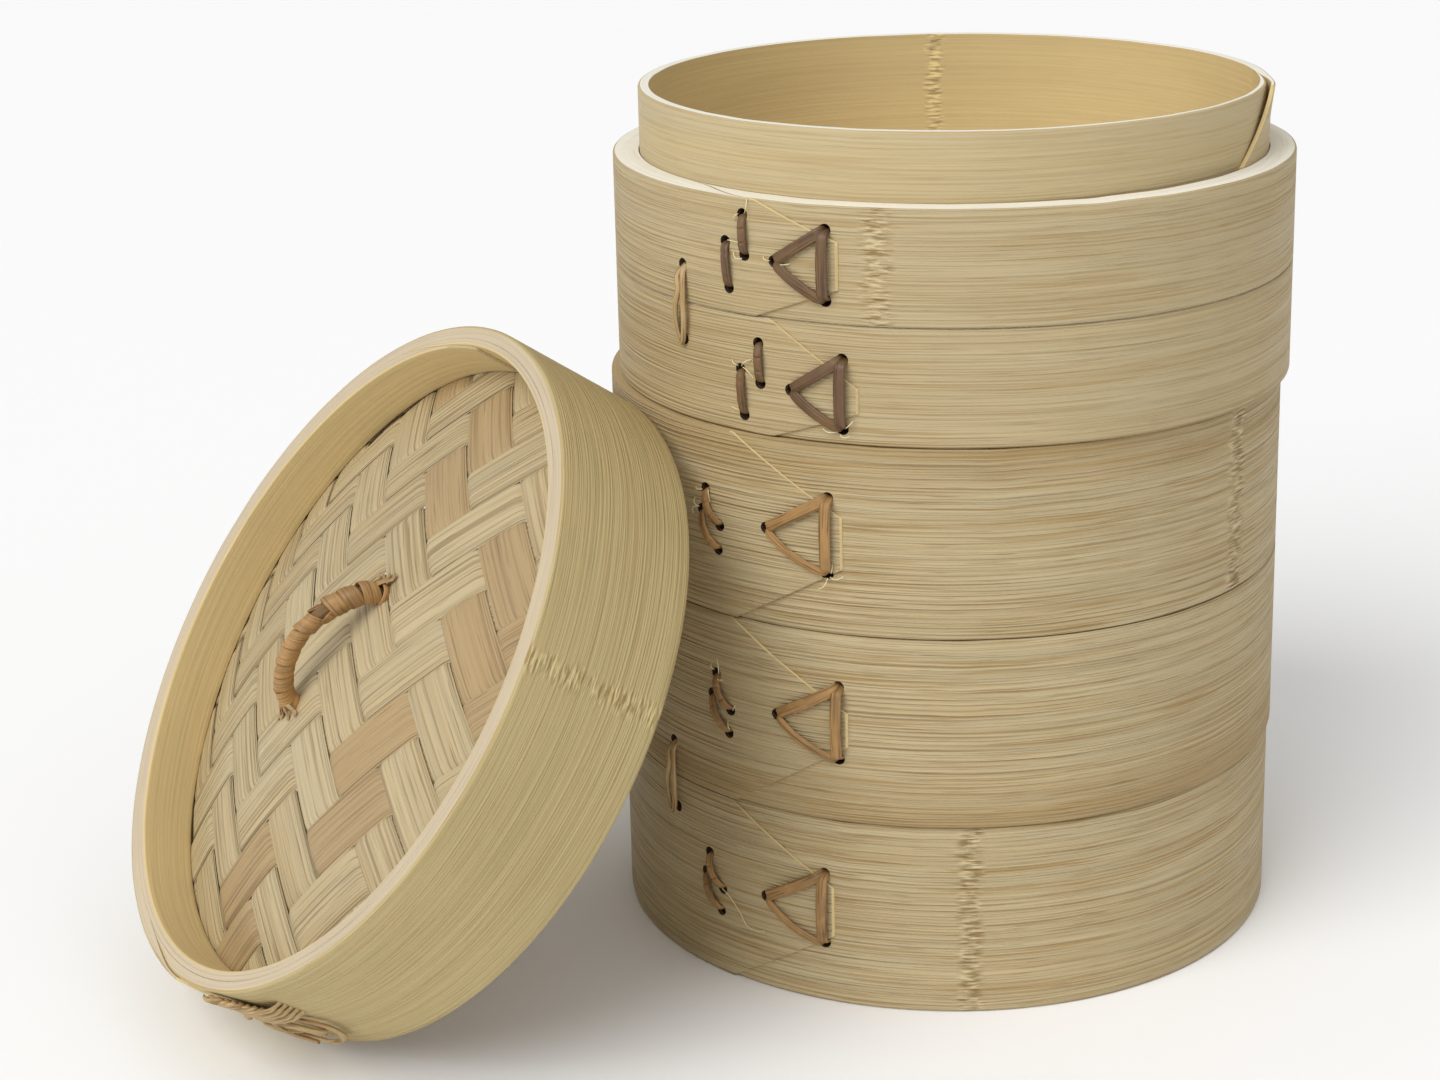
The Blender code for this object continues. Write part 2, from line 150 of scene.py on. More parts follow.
class Value:
    """A node's output, which takes part in sums as a number does."""

    def __init__(self, graph, socket):
        self.graph = graph
        self.socket = socket

    def __add__(self, other):
        return self.graph.math("ADD", self, other)

    def __radd__(self, other):
        return self.graph.math("ADD", other, self)

    def __sub__(self, other):
        return self.graph.math("SUBTRACT", self, other)

    def __rsub__(self, other):
        return self.graph.math("SUBTRACT", other, self)

    def __mul__(self, other):
        return self.graph.math("MULTIPLY", self, other)

    def __truediv__(self, other):
        return self.graph.math("DIVIDE", self, other)

    def __rtruediv__(self, other):
        return self.graph.math("DIVIDE", other, self)

    def __pow__(self, other):
        return self.graph.math("POWER", self, other)

    def __abs__(self):
        return self.graph.math("ABSOLUTE", self)


class Graph:
    """Adds nodes to a tree. An input is given as a Value or as a plain number, colour or name."""

    def __init__(self, tree):
        self.tree = tree

    def feed(self, socket, value):
        if isinstance(value, Value):
            self.tree.links.new(value.socket, socket)
        else:
            socket.default_value = value

    def add(self, kind, inputs=None, output=0, **settings):
        """One output of a new node of a kind."""
        made = self.tree.nodes.new(kind)
        for name, value in settings.items():
            setattr(made, name, value)
        for key, value in (inputs or {}).items():
            self.feed(made.inputs[key], value)
        return Value(self, made.outputs[output])

    def math(self, operation, *values):
        return self.add("ShaderNodeMath", dict(enumerate(values)), operation=operation)

    def vector(self, operation, first, second):
        return self.add("ShaderNodeVectorMath", {0: first, 1: second}, operation=operation)

    def scaled(self, vector, factor):
        return self.add("ShaderNodeVectorMath", {0: vector, "Scale": factor}, operation="SCALE")

    def combine(self, *values):
        """A vector of three values."""
        return self.add("ShaderNodeCombineXYZ", dict(enumerate(values)))

    def split(self, vector):
        made = self.add("ShaderNodeSeparateXYZ", {0: vector}).socket.node
        return [Value(self, socket) for socket in made.outputs]

    def ramp(self, *values):
        """A value eased from a low and a high limit to a start and an end, which are 0 and 1 if not given."""
        return self.add("ShaderNodeMapRange", dict(enumerate(values)), interpolation_type="SMOOTHSTEP")

    def noise(self, vector, detail=2.0, roughness=0.5):
        inputs = {"Vector": vector, "Scale": 1.0, "Detail": detail, "Roughness": roughness}
        return self.add("ShaderNodeTexNoise", inputs)

    def painted(self, ground, *layers):
        """A ground colour under layers of (mask, strength, colour)."""
        for mask, strength, colour in layers:
            share = mask if strength is None else mask * strength
            ground = self.add("ShaderNodeMix", {"Factor": share, 6: ground, 7: colour}, 2, data_type="RGBA")
        return ground


def new_group(name, kind, inputs, outputs):
    """A node group with its sockets, given as labels and defaults; returns its graph, inputs and outputs."""
    tree = bpy.data.node_groups.new(name, kind)
    for label, default in inputs.items():
        socket = SOCKETS.get(label, "Int" if isinstance(default, int) else "Float")
        made = tree.interface.new_socket(label, in_out="INPUT", socket_type=f"NodeSocket{socket}")
        if default is not None:
            made.default_value = default
    for label in outputs:
        socket = SOCKETS.get(label, "Float")
        tree.interface.new_socket(label, in_out="OUTPUT", socket_type=f"NodeSocket{socket}")
    graph = Graph(tree)
    given = {socket.name: Value(graph, socket) for socket in tree.nodes.new("NodeGroupInput").outputs}
    return graph, given, tree.nodes.new("NodeGroupOutput").inputs


def use_group(graph, name, **inputs):
    """Places a shader group in a material; an input's name has _ for each space."""
    inputs = {key.replace("_", " "): value for key, value in inputs.items()}
    made = graph.add("ShaderNodeGroup", inputs, node_tree=bpy.data.node_groups[name]).socket.node
    return {socket.name: Value(graph, socket) for socket in made.outputs}


# Shader groups


def build_fibre_group():
    """Bamboo fibre: fine ridges, dark lines that come and go, broad bands of tone, and short dark dashes."""
    sizes = {"Vector": None, "Line Length": 0.05, "Line Width": 0.0007}
    results = ("Lines", "Ridges", "Bands", "Dashes", "Height")
    graph, given, out = new_group("Bamboo Fibre", "ShaderNodeTree", sizes, results)
    along, across, seed = graph.split(given["Vector"])
    drift = graph.noise(graph.combine(along * 14.0, 0.0, seed), 1.0)
    across = across + drift * 0.0012

    def layer(length, width, shift, detail):
        """Noise stretched along the fibres, as multiples of a line's length and width."""
        steps_along = along / (given["Line Length"] * length)
        steps_across = across / (given["Line Width"] * width)
        return graph.noise(graph.combine(steps_along, steps_across, seed + shift), detail, 0.55)

    ridges = layer(2.5, 1.35, 1.7, 2.0)
    lines = layer(1.5, 1.05, 5.1, 0.5)
    patches = layer(1.6, 6.0, 9.4, 2.0)
    bands = layer(3.5, 9.0, 7.3, 3.0)
    dashes = layer(0.45, 0.7, 3.1, 1.0)
    graph.feed(out["Lines"], graph.ramp(lines, 0.55, 0.61) * graph.ramp(patches, 0.35, 0.65, 0.35, 1.0))
    graph.feed(out["Bands"], graph.ramp(bands, 0.32, 0.68))
    graph.feed(out["Ridges"], graph.ramp(ridges, 0.36, 0.64))
    graph.feed(out["Dashes"], graph.ramp(dashes, 0.62, 0.72))
    graph.feed(out["Height"], ridges - lines * 0.9 + bands * 0.6)


def build_node_group():
    """A bamboo node across a strip: a ragged stripe with torn, pitted fibres."""
    sizes = {"Vector": None, "Position": 0.1, "Width": 0.008}
    results = ("Mask", "Flecks", "Pits", "Height")
    graph, given, out = new_group("Bamboo Node", "ShaderNodeTree", sizes, results)
    along, across, seed = graph.split(given["Vector"])
    sway = graph.noise(graph.combine(0.0, across * 150.0, seed), 2.0)
    away = abs(along - given["Position"] + (sway - 0.5) * 0.006)
    mask = graph.ramp(away, given["Width"], given["Width"] * 0.25)
    torn = graph.noise(graph.combine(along * 190.0, across * 1150.0, seed), 1.5)
    graph.feed(out["Mask"], mask)
    graph.feed(out["Flecks"], graph.ramp(torn, 0.53, 0.58) * mask)
    graph.feed(out["Pits"], graph.ramp(torn, 0.46, 0.38) * mask)
    graph.feed(out["Height"], (torn - 0.5) * mask)


SPECKLE_SCALE = 1400.0


def build_stain_group():
    """Cloudy stains from steam and handling, and a fine speckle, from the place on the object."""
    sizes = {"Vector": None, "Cloud Size": 0.05, "Seed": 0.0}
    graph, given, out = new_group("Steam Stain", "ShaderNodeTree", sizes, ("Mask", "Speckle"))
    cloud = graph.scaled(given["Vector"], 1.0 / given["Cloud Size"])
    cloud = graph.vector("ADD", cloud, graph.combine(given["Seed"], 0.0, 0.0))
    graph.feed(out["Mask"], graph.ramp(graph.noise(cloud, 3.0, 0.6), 0.42, 0.68))
    speckle = graph.noise(graph.scaled(given["Vector"], SPECKLE_SCALE), 1.0)
    graph.feed(out["Speckle"], graph.ramp(speckle, 0.62, 0.75))


# Materials


def new_material(name):
    material = bpy.data.materials.new(name)
    material.use_nodes = True
    return Graph(material.node_tree), material.node_tree.nodes["Principled BSDF"]


def fibre_and_stain(graph, seed, line_width, line_length, cloud_size=None):
    """The fibre vector, the fibre group's masks, and the stain group's if it has a cloud size."""
    along, across, _ = graph.split(graph.add("ShaderNodeUVMap", uv_map=FIBRE_MAP))
    vector = graph.combine(along, across, seed)
    fibre = use_group(graph, "Bamboo Fibre", Vector=vector, Line_Width=line_width, Line_Length=line_length)
    return vector, fibre, cloud_size and stain_masks(graph, seed, cloud_size)


def stain_masks(graph, seed, cloud_size):
    place = graph.add("ShaderNodeTexCoord", output="Object")
    return use_group(graph, "Steam Stain", Vector=place, Cloud_Size=cloud_size, Seed=seed)


def finish_material(graph, shader, colour, roughness, height, strength, distance):
    bump = graph.add("ShaderNodeBump", {"Height": height, "Strength": strength, "Distance": distance})
    for name, value in (("Base Color", colour), ("Roughness", roughness), ("Normal", bump)):
        graph.feed(shader.inputs[name], value)


def tone(colour, factor):
    return (*(min(channel * factor, 1.0) for channel in colour[:3]), 1.0)


# A bamboo's colours, its node's place and width along the fibres, the spacing and strength of its lines, and
# the colour, height and width of a darker golden band along the strip, painted as the shade beside a seam.
Look = namedtuple(
    "Look",
    "base line streak node_at node_width line_width contrast stain stain_at stain_width",
    defaults=(0.0, 0.0, 0.0006, 1.0, None, 0.0, 0.0),
)


def bamboo_material(name, look, seed):
    """Split bamboo: pale ground, tan lines along the fibres, bands, dashes, and a node if it has one."""
    graph, shader = new_material(name)
    vector, fibre, stain = fibre_and_stain(graph, seed, look.line_width, 0.04, 0.06)
    colour = graph.painted(
        look.base,
        (fibre["Bands"], 0.55, look.streak),
        (stain["Mask"], 0.3, tone(look.streak, 0.96)),
        (fibre["Ridges"], 0.5 * look.contrast, tone(look.base, 1.2)),
    )
    # A darker golden band beside a seam: painted shade.
    if look.stain_width:
        away = abs(graph.split(vector)[1] - look.stain_at)
        seam_shading = graph.ramp(away, look.stain_width, look.stain_width * 0.3)
        seam_shading = seam_shading * graph.ramp(fibre["Bands"], 0.0, 1.0, 0.55, 1.0)
        colour = graph.painted(colour, (seam_shading, 0.7, look.stain))
    colour = graph.painted(
        colour,
        (fibre["Lines"], 0.6 * look.contrast, look.line),
        (fibre["Dashes"], 0.45 * look.contrast, tone(look.line, 0.7)),
    )
    height = fibre["Height"]
    if look.node_width:
        node = use_group(graph, "Bamboo Node", Vector=vector, Position=look.node_at, Width=look.node_width)
        colour = graph.painted(
            colour,
            (node["Mask"], 0.3, tone(look.streak, 1.0)),
            (node["Flecks"], 0.8, tone(look.base, 1.4)),
            (node["Pits"], 0.75, tone(look.line, 0.75)),
        )
        height = height + node["Height"] * 2.2
    shader.inputs["Specular IOR Level"].default_value = 0.3
    strength = min(0.8 * look.contrast, 1.0)
    finish_material(graph, shader, colour, 0.55 + fibre["Bands"] * 0.15, height, strength, 0.8 * MM)


def cut_edge_material(name, base, seed):
    """Sawn and sanded edge of a bamboo strip: cream, with faint lengthwise fibres and pores."""
    graph, shader = new_material(name)
    _, fibre, stain = fibre_and_stain(graph, seed, 0.0009, 0.03, 0.03)
    colour = graph.painted(
        base,
        (fibre["Bands"], 0.5, tone(base, 0.86)),
        (fibre["Lines"], 0.35, tone(base, 0.7)),
        (stain["Mask"], 0.3, tone(base, 0.85)),
    )
    roughness = graph.ramp(fibre["Bands"], 0.0, 1.0, 0.55, 0.7)
    finish_material(graph, shader, colour, roughness, fibre["Height"], 0.4, 0.3 * MM)


def hole_material(colour):
    """The wall of a hole for the rattan, painted very dark as the shade inside the hole, with lighter cloudy
    patches.
    """
    graph, shader = new_material("Burnt Hole")
    stain = stain_masks(graph, 4.0, 0.002)
    hole_shade_colour = graph.painted(colour, (stain["Mask"], None, tone(colour, 2.2)))
    finish_material(graph, shader, hole_shade_colour, 0.85, stain["Speckle"], 0.5, 0.2 * MM)


def rattan_material(name, base, warm, seed):
    """Split rattan: a shiny ridged skin with dark grooves, warmer patches and pale worn ridges."""
    graph, shader = new_material(name)
    _, fibre, stain = fibre_and_stain(graph, seed, 0.0005, 0.009, 0.006)
    colour = graph.painted(
        base,
        (stain["Mask"], None, warm),
        (fibre["Bands"], 0.55, tone(warm, 1.5)),
        (fibre["Lines"], 0.75, tone(base, 0.45)),
    )
    roughness = graph.ramp(fibre["Bands"], 0.0, 1.0, 0.45, 0.65)
    finish_material(graph, shader, colour, roughness, fibre["Height"], 0.8, 0.3 * MM)


def weave_material(name, look, seed):
    """Split bamboo for weaving: each strip has its own tone, and ridges where it was split."""
    graph, shader = new_material(name)
    strip = graph.add("ShaderNodeAttribute", output="Fac", attribute_name="Strip Tone")
    _, fibre, _ = fibre_and_stain(graph, seed, look.line_width, 0.05)
    colour = graph.painted(
        look.base,
        (fibre["Bands"], 0.8, look.streak),
        (graph.ramp(strip, 0.45, 0.0, 0.0, 0.6), None, tone(look.base, 1.18)),
        (fibre["Ridges"], 0.6, tone(look.base, 1.28)),
        (graph.ramp(strip, 0.45, 1.0, 0.0, 0.75), None, tone(look.line, 1.08)),
        (fibre["Lines"], 0.65, tone(look.line, 0.68)),
        (fibre["Dashes"], 0.55, tone(look.line, 0.38)),
    )
    roughness = graph.ramp(fibre["Bands"], 0.0, 1.0, 0.5, 0.68)
    finish_material(graph, shader, colour, roughness, fibre["Height"], 1.0, 0.7 * MM)


# Meshes


def linked(name, data):
    made = bpy.data.objects.new(name, data)
    bpy.context.scene.collection.objects.link(made)
    return made


def new_piece(name, mesh, home, nodes):
    """Links a finished mesh as a piece that rides on a tier or the lid and stands for CAD nodes."""
    mesh.name = name
    piece = linked(name, mesh)
    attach(piece, BODIES[home])
    if nodes:
        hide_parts(*nodes)


def shade_round(mesh, sharp=40.0):
    mesh.shade_smooth()
    mesh.set_sharp_from_angle(angle=math.radians(sharp))


def as_mesh(shape, name):
    """A worked shape as a new mesh; the shape is freed."""
    mesh = bpy.data.meshes.new(name)
    shape.to_mesh(mesh)
    shape.free()
    return mesh


def skin(rows):
    """A closed mesh over rows of (point, along, across, material index), each row a closed section."""
    count = len(rows[0])
    mesh = bpy.data.meshes.new("skin")
    faces = []
    slots = []
    for i in range(len(rows) - 1):
        row = i * count
        for k in range(count):
            after = (k + 1) % count
            faces.append((row + k, row + after, row + count + after, row + count + k))
            slots.append(rows[i][k][3] if i else INNER)
    faces.append(tuple(range(count - 1, -1, -1)))
    faces.append(tuple((len(rows) - 1) * count + k for k in range(count)))
    slots += [INNER, INNER]
    mesh.from_pydata([spot[0] for row in rows for spot in row], [], faces)
    mesh.polygons.foreach_set("material_index", slots)
    layer = mesh.uv_layers.new(name=FIBRE_MAP)
    flat = [spot[1:3] for row in rows for spot in row]
    for loop in mesh.loops:
        layer.data[loop.index].uv = flat[loop.vertex_index]
    return mesh


def face_outwards(mesh):
    """Turns an evenly wound closed mesh's faces outwards."""
    shape = bmesh.new()
    shape.from_mesh(mesh)
    if shape.calc_volume(signed=True) < 0:
        bmesh.ops.reverse_faces(shape, faces=shape.faces)
    shape.to_mesh(mesh)
    shape.free()


DRILL_CLEAR = 2 * MM


def drill(mesh, holes, radius, depth):
    """Cuts round holes, given as (outside point, inward direction), and gives their walls the painted hole
    shade.
    """
    shape = bmesh.new()
    size = {"segments": 14, "radius1": radius, "radius2": radius, "depth": depth + 2 * DRILL_CLEAR}
    for start, inward in holes:
        turn = inward.to_track_quat("Z", "Y").to_matrix().to_4x4()
        turn.translation = start + inward * (depth / 2 - DRILL_CLEAR)
        bmesh.ops.create_cone(shape, cap_ends=True, matrix=turn, **size)
    for face in shape.faces:
        face.material_index = len(mesh.materials)
    mesh.materials.append(bpy.data.materials["Burnt Hole"])
    cutter_mesh = as_mesh(shape, "drill")
    for material in mesh.materials:
        cutter_mesh.materials.append(material)
    cutter = linked("drill", cutter_mesh)
    blank = linked("blank", mesh)
    boolean = blank.modifiers.new("drill", "BOOLEAN")
    boolean.object = cutter
    boolean.solver = "MANIFOLD"
    done = baked(blank)
    bpy.data.objects.remove(cutter)
    return done


def baked(source):
    """The evaluated mesh of an object, which is then removed with its modifiers."""
    bpy.context.view_layer.update()
    graph = bpy.context.evaluated_depsgraph_get()
    mesh = bpy.data.meshes.new_from_object(source.evaluated_get(graph), depsgraph=graph)
    bpy.data.objects.remove(source)
    return mesh


# Bent bands

# The outer end of a strip: the angle of its tip, its lower and upper edge there, the angle over which it
# comes to its full width, its thickness, which way round the strip goes, and how far its upper corner peels.
Lap = namedtuple("Lap", "angle low high taper step heading peel", defaults=(0.0,))
BandNode = namedtuple("BandNode", "angle width rise")
LAP_TUCK = math.radians(16.0)
LAP_SETTLE = math.radians(80.0)
LAP_REACH = 1.1  # tapers from the tip to where the strip's inner end starts to tuck in
TAIL = 0.3 * MM
END_SLANT = 0.5 * MM
PEEL_REACH = math.radians(16.0)
PLY_GAP = 0.06 * MM
PLY_GROOVE = 0.08 * MM
FACE_ROWS = 14
# A strip's faces, by the material that they take. A corner takes the outer face's, and at the strip's tapered
# end it takes the inner face's, as the cut faces do there.
OUTER, CUT, INNER, CORNER = range(4)
EDGE_STEPS = 3
TIP_STEP = 0.006
COARSE_STEP = math.radians(2.0)
FINE_STEP = math.radians(0.7)
NODE_STEP = math.radians(0.3)
NODE_REACH = 0.07


def around(angle):
    """An angle brought to between half a turn back and half a turn on."""
    return (angle + math.pi) % TURN - math.pi


def wall_at(ring, lap, back):
    """A strip's inner and outer radius at an angle back from its outer end."""
    under = ring.outer - lap.step
    tuck_start = LAP_REACH * lap.taper
    tail_foot = ring.inner + TAIL
    if back > TURN:
        tucked = smooth((back - TURN - tuck_start) / LAP_TUCK)
        return ring.inner, lerp(under, tail_foot, tucked) - PLY_GAP
    inner = ring.inner
    if back < tuck_start + LAP_TUCK:
        inner = lerp(under, tail_foot, smooth((back - tuck_start) / LAP_TUCK))
    outer = lerp(under, ring.outer, smooth((TURN - back) / LAP_SETTLE))
    slant = min(back * ring.outer / END_SLANT, 1.0)
    return inner, lerp(under + 0.25 * lap.step, outer, slant)


def section(inner, outer, bottom, top, edge, socket):
    """A band's section, up its outer face and down its inner one, as (radius, height, across, kind)."""
    edge = min(edge, 0.45 * (outer - inner), 0.45 * (top - bottom))
    groove = min(PLY_GROOVE, 0.05 * (outer - inner))
    middle = (inner + outer) / 2
    nip = 0.15 * edge
    points = []
    for i in range(FACE_ROWS + 1):
        height = lerp(bottom + edge, top - edge, i / FACE_ROWS)
        points.append((outer, height, height, OUTER))
    for i in range(1, EDGE_STEPS + 1):
        turn = math.pi / 2 * i / EDGE_STEPS
        radius = outer - edge + edge * math.cos(turn)
        kind = CORNER if i < EDGE_STEPS else CUT
        points.append((radius, top - edge + edge * math.sin(turn), top + outer - radius, kind))
    ply_line = ((middle + groove, 0.0), (middle, groove), (middle - groove, 0.0))
    for radius, drop in (*ply_line, (inner + nip, 0.0)):
        points.append((radius, top - drop, top + outer - radius, CUT))
    far = top + outer - inner
    points.append((inner, top - nip, far, INNER))
    foot = inner
    if socket:
        foot = min(max(socket.inner, inner + 0.02 * MM), outer - 0.12 * MM)
        shelf = min(max(socket.top, bottom + 2 * nip), top - 2 * nip)
        points += [(radius, shelf, far + top - shelf, INNER) for radius in (inner, foot)]
    points.append((foot, bottom + nip, far + top - bottom, CUT))
    middle = (foot + outer) / 2
    ply_line = ((middle - groove, 0.0), (middle, groove), (middle + groove, 0.0))
    for radius, lift in ((foot + nip, 0.0), *ply_line):
        points.append((radius, bottom + lift, bottom - outer + radius, CUT))
    for i in range(EDGE_STEPS):
        turn = math.pi / 2 * (1 - i / EDGE_STEPS)
        radius = outer - edge + edge * math.cos(turn)
        points.append((radius, bottom + edge - edge * math.sin(turn), bottom - outer + radius, OUTER))
    return points


def stations(lap, band_node):
    """Angles back from the tip, closer together where the strip laps itself and at its node."""
    total = TURN + LAP_REACH * lap.taper + 0.96 * LAP_TUCK
    found = [0.0, TIP_STEP]
    while found[-1] < total:
        back = found[-1]
        theta = lap.angle + lap.heading * back
        step = COARSE_STEP
        if back < lap.taper + FINE_STEP or abs(back - TURN) < lap.taper:
            step = FINE_STEP
        if band_node and abs(around(theta - band_node.angle)) < NODE_REACH:
            step = NODE_STEP
        found.append(back + step)
    return found


def node_relief(node, theta, height, radius, seed):
    """How far the outer face stands proud at a bamboo node: a low ridge, torn along the fibres."""
    away = around(theta - node.angle) * radius
    torn = noise.noise(Vector((away * 300, height * 260, seed)))
    sway = 1.2 * MM * noise.noise(Vector((height * 180, seed, 5.0)))
    ridge = math.exp(-(((away + sway) / (node.width / 2)) ** 2))
    return ridge * node.rise * (0.55 + 0.9 * torn)


def peeled(ring, lap, back, height):
    """How far a strip's end stands off at a point: most at its upper corner, nothing at its lower one."""
    share = min(max((height - lap.high) / (ring.top - lap.high), 0.0), 1.0)
    return lap.peel * share * (1 - smooth((back - lap.taper * share) / PEEL_REACH))


def bent_band(ring, lap, seed, edge, band_node=None, socket=None, wobble=0.22 * MM, inside=False):
    """A strip of bamboo bent once round, its outer end over its inner one, or the other way if inside."""
    rows = []
    for back in stations(lap, band_node):
        theta = lap.angle + lap.heading * back
        inner, outer = wall_at(ring, lap, back)
        share = back / lap.taper
        bottom = ring.bottom if share > 1 else lerp(lap.low, ring.bottom, share)
        top = ring.top if share > 1 else lerp(lap.high, ring.top, share)
        loop = Vector((1.5 * math.cos(theta), 1.5 * math.sin(theta), seed))
        sway = wobble * noise.noise(loop)
        fray = 1.2 * wobble * noise.noise(loop * 5)
        row = []
        for radius, height, across, kind in section(inner, outer, bottom, top, edge, socket):
            if kind == OUTER and band_node:
                radius += node_relief(band_node, theta, height, ring.outer, seed)
            if lap.peel and back < lap.taper + PEEL_REACH:
                radius += peeled(ring, lap, back, height)
            if inside:
                radius = ring.inner + ring.outer - radius
            lift = fray if height > (bottom + top) / 2 else -fray * 0.5
            place = on_band(radius + sway * 0.4, theta, height + min(lift, 0.0))
            if kind in (CUT, CORNER) and share < 1:
                kind = INNER
            elif kind == CORNER:
                kind = OUTER
            row.append((place, back * ring.outer, across, kind))
        rows.append(row)
    mesh = skin(rows)
    face_outwards(mesh)
    return mesh


def finish_band(name, mesh, home, materials, holes=(), hole_radius=0.0, hole_depth=0.0):
    """Gives a band its outer, cut and inner materials, drills it and puts it in the place of its CAD node."""
    for material in materials:
        mesh.materials.append(bpy.data.materials[material])
    if holes:
        mesh = drill(mesh, holes, hole_radius, hole_depth)
    mesh.transform(PLACES[home])
    shade_round(mesh)
    new_piece(f"{name}_band", mesh, home, [name])


# Rattan lacings: where they run is read from their CAD strands


END_SLACK = 1.0 * MM


def lacing_corners(node, place):
    """A triangular lacing's point, upper corner and lower corner as (angle, height)."""
    points = local_points(node, place)
    angles = [angle_of(point) for point in points]
    heights = [point.z for point in points]
    radius = max(math.hypot(point.x, point.y) for point in points)
    left = min(angles) + END_SLACK / radius
    right = max(angles) - END_SLACK / radius
    low = min(heights) + END_SLACK
    high = max(heights) - END_SLACK
    return ((left, (low + high) / 2), (right, high), (right, low))


def strand_ends(node, place):
    """An upright strand's upper and lower end as (angle, height)."""
    points = sorted(local_points(node, place), key=lambda point: point.z)
    some = max(len(points) // 6, 1)
    lower = sum(points[:some], Vector()) / some
    upper = sum(points[-some:], Vector()) / some
    return (angle_of(upper), points[-1].z - END_SLACK), (angle_of(lower), points[0].z + END_SLACK)


def hole_at(radius, spot):
    """A drilled hole's outside point and inward direction."""
    outside = on_band(radius, *spot)
    return outside, -Vector((outside.x, outside.y, 0.0)).normalized()


# How a strand comes out of its hole: distance along the run from the hole's middle, and height off the band.
STRAND_RISE = (
    (0.5 * MM, -3.4 * MM),
    (0.5 * MM, -1.8 * MM),
    (0.7 * MM, -0.4 * MM),
    (1.3 * MM, 0.5 * MM),
    (2.3 * MM, 0.9 * MM),
    (3.4 * MM, 1.0 * MM),
)


def strand_path(radius, start, end, arch=0.35 * MM, side=0.0, lift=0.0):
    """Points and outward directions of a strand that lies on a band between two holes."""
    span = math.hypot((end[0] - start[0]) * radius, end[1] - start[1])
    marks = [(distance, lift) for distance, lift in STRAND_RISE if distance < 0.45 * span]
    far_marks = [(span - distance, lift) for distance, lift in reversed(marks)]
    marks += [(span * step / 10, None) for step in range(3, 8)] + far_marks
    run = Vector(((end[0] - start[0]) * radius, end[1] - start[1]))
    cross = Vector((-run.y, run.x)).normalized()
    path = []
    for distance, proud in sorted(marks, key=lambda mark: mark[0]):
        share = distance / span
        inside = min(max(share, 0.0), 1.0)
        if proud is None:
            proud = 1.0 * MM + arch * math.sin(math.pi * inside)
        if proud > 0:
            proud += lift
        aside = side * math.sin(math.pi * inside)
        angle = lerp(start[0], end[0], share) + cross.x * aside / radius
        height = lerp(start[1], end[1], share) + cross.y * aside
        path.append(on_band(radius + proud, angle, height))
    return path


def smooth_path(points, step=0.5 * MM):
    """Points at even steps along a smooth curve through the given ones."""
    curve = []
    ends = [2 * points[0] - points[1]] + list(points) + [2 * points[-1] - points[-2]]
    for i in range(1, len(ends) - 2):
        before, first, second, after = ends[i - 1 : i + 3]
        pieces = max(int((second - first).length / step), 1)
        for k in range(pieces):
            t = k / pieces
            bend = (2 * before - 5 * first + 4 * second - after) * t * t
            twist = (3 * first - before - 3 * second + after) * t**3
            curve.append(0.5 * (2 * first + (second - before) * t + bend + twist))
    curve.append(points[-1])
    return curve


def outward_along(curve, side):
    """Each point's outward direction: square to the curve and to a fixed side direction."""
    found = []
    for i in range(len(curve)):
        before = curve[max(i - 1, 0)]
        after = curve[min(i + 1, len(curve) - 1)]
        found.append(side.cross((after - before).normalized()).normalized())
    return found


def band_strand(radius, start, end, **shape):
    """A strand's curve and outward directions, lying flat on a band."""
    curve = smooth_path(strand_path(radius, start, end, **shape))
    middle = on_band(1.0, (start[0] + end[0]) / 2, 0.0)
    side = (curve[-1] - curve[0]).cross(middle).normalized()
    return curve, outward_along(curve, side)


def laid_strand(radius, spots):
    """A strand over a band through (degrees round, millimetres up, metres off the band) spots."""
    path = [on_band(radius + rise, math.radians(angle), height * MM) for angle, height, rise in spots]
    curve = smooth_path(path)
    return curve, [Vector((point.x, point.y, 0.0)).normalized() for point in curve]


def store(graph, geometry, name, value, **settings):
    """A geometry with a named attribute."""
    inputs = {"Geometry": geometry, "Name": name, "Value": value}
    return graph.add("GeometryNodeStoreNamedAttribute", inputs, **settings)


def named(graph, name, **settings):
    return graph.add("GeometryNodeInputNamedAttribute", {"Name": name}, **settings)


def position(graph):
    return graph.add("GeometryNodeInputPosition")


def moved(graph, geometry, **change):
    """A geometry with its points at a new Position or moved by an Offset."""
    return graph.add("GeometryNodeSetPosition", {"Geometry": geometry, **change})


def round_profile(graph, resolution):
    """A circle of radius 1 to sweep along a curve, and its points' x and y."""
    inputs = {"Resolution": resolution, "Radius": 1.0}
    circle = graph.add("GeometryNodeCurvePrimitiveCircle", inputs, mode="RADIUS")
    x, y, _ = graph.split(position(graph))
    return circle, x, y


def swept(graph, curve, profile):
    inputs = {"Curve": curve, "Profile Curve": profile, "Fill Caps": True}
    return graph.add("GeometryNodeCurveToMesh", inputs)


def finish_tree(graph, geometry, material, out):
    smoothed = graph.add("GeometryNodeSetShadeSmooth", {"Geometry": geometry, "Shade Smooth": True})
    real = graph.add("GeometryNodeRealizeInstances", {"Geometry": smoothed})
    graph.feed(out[0], graph.add("GeometryNodeSetMaterial", {"Geometry": real, "Material": material}))


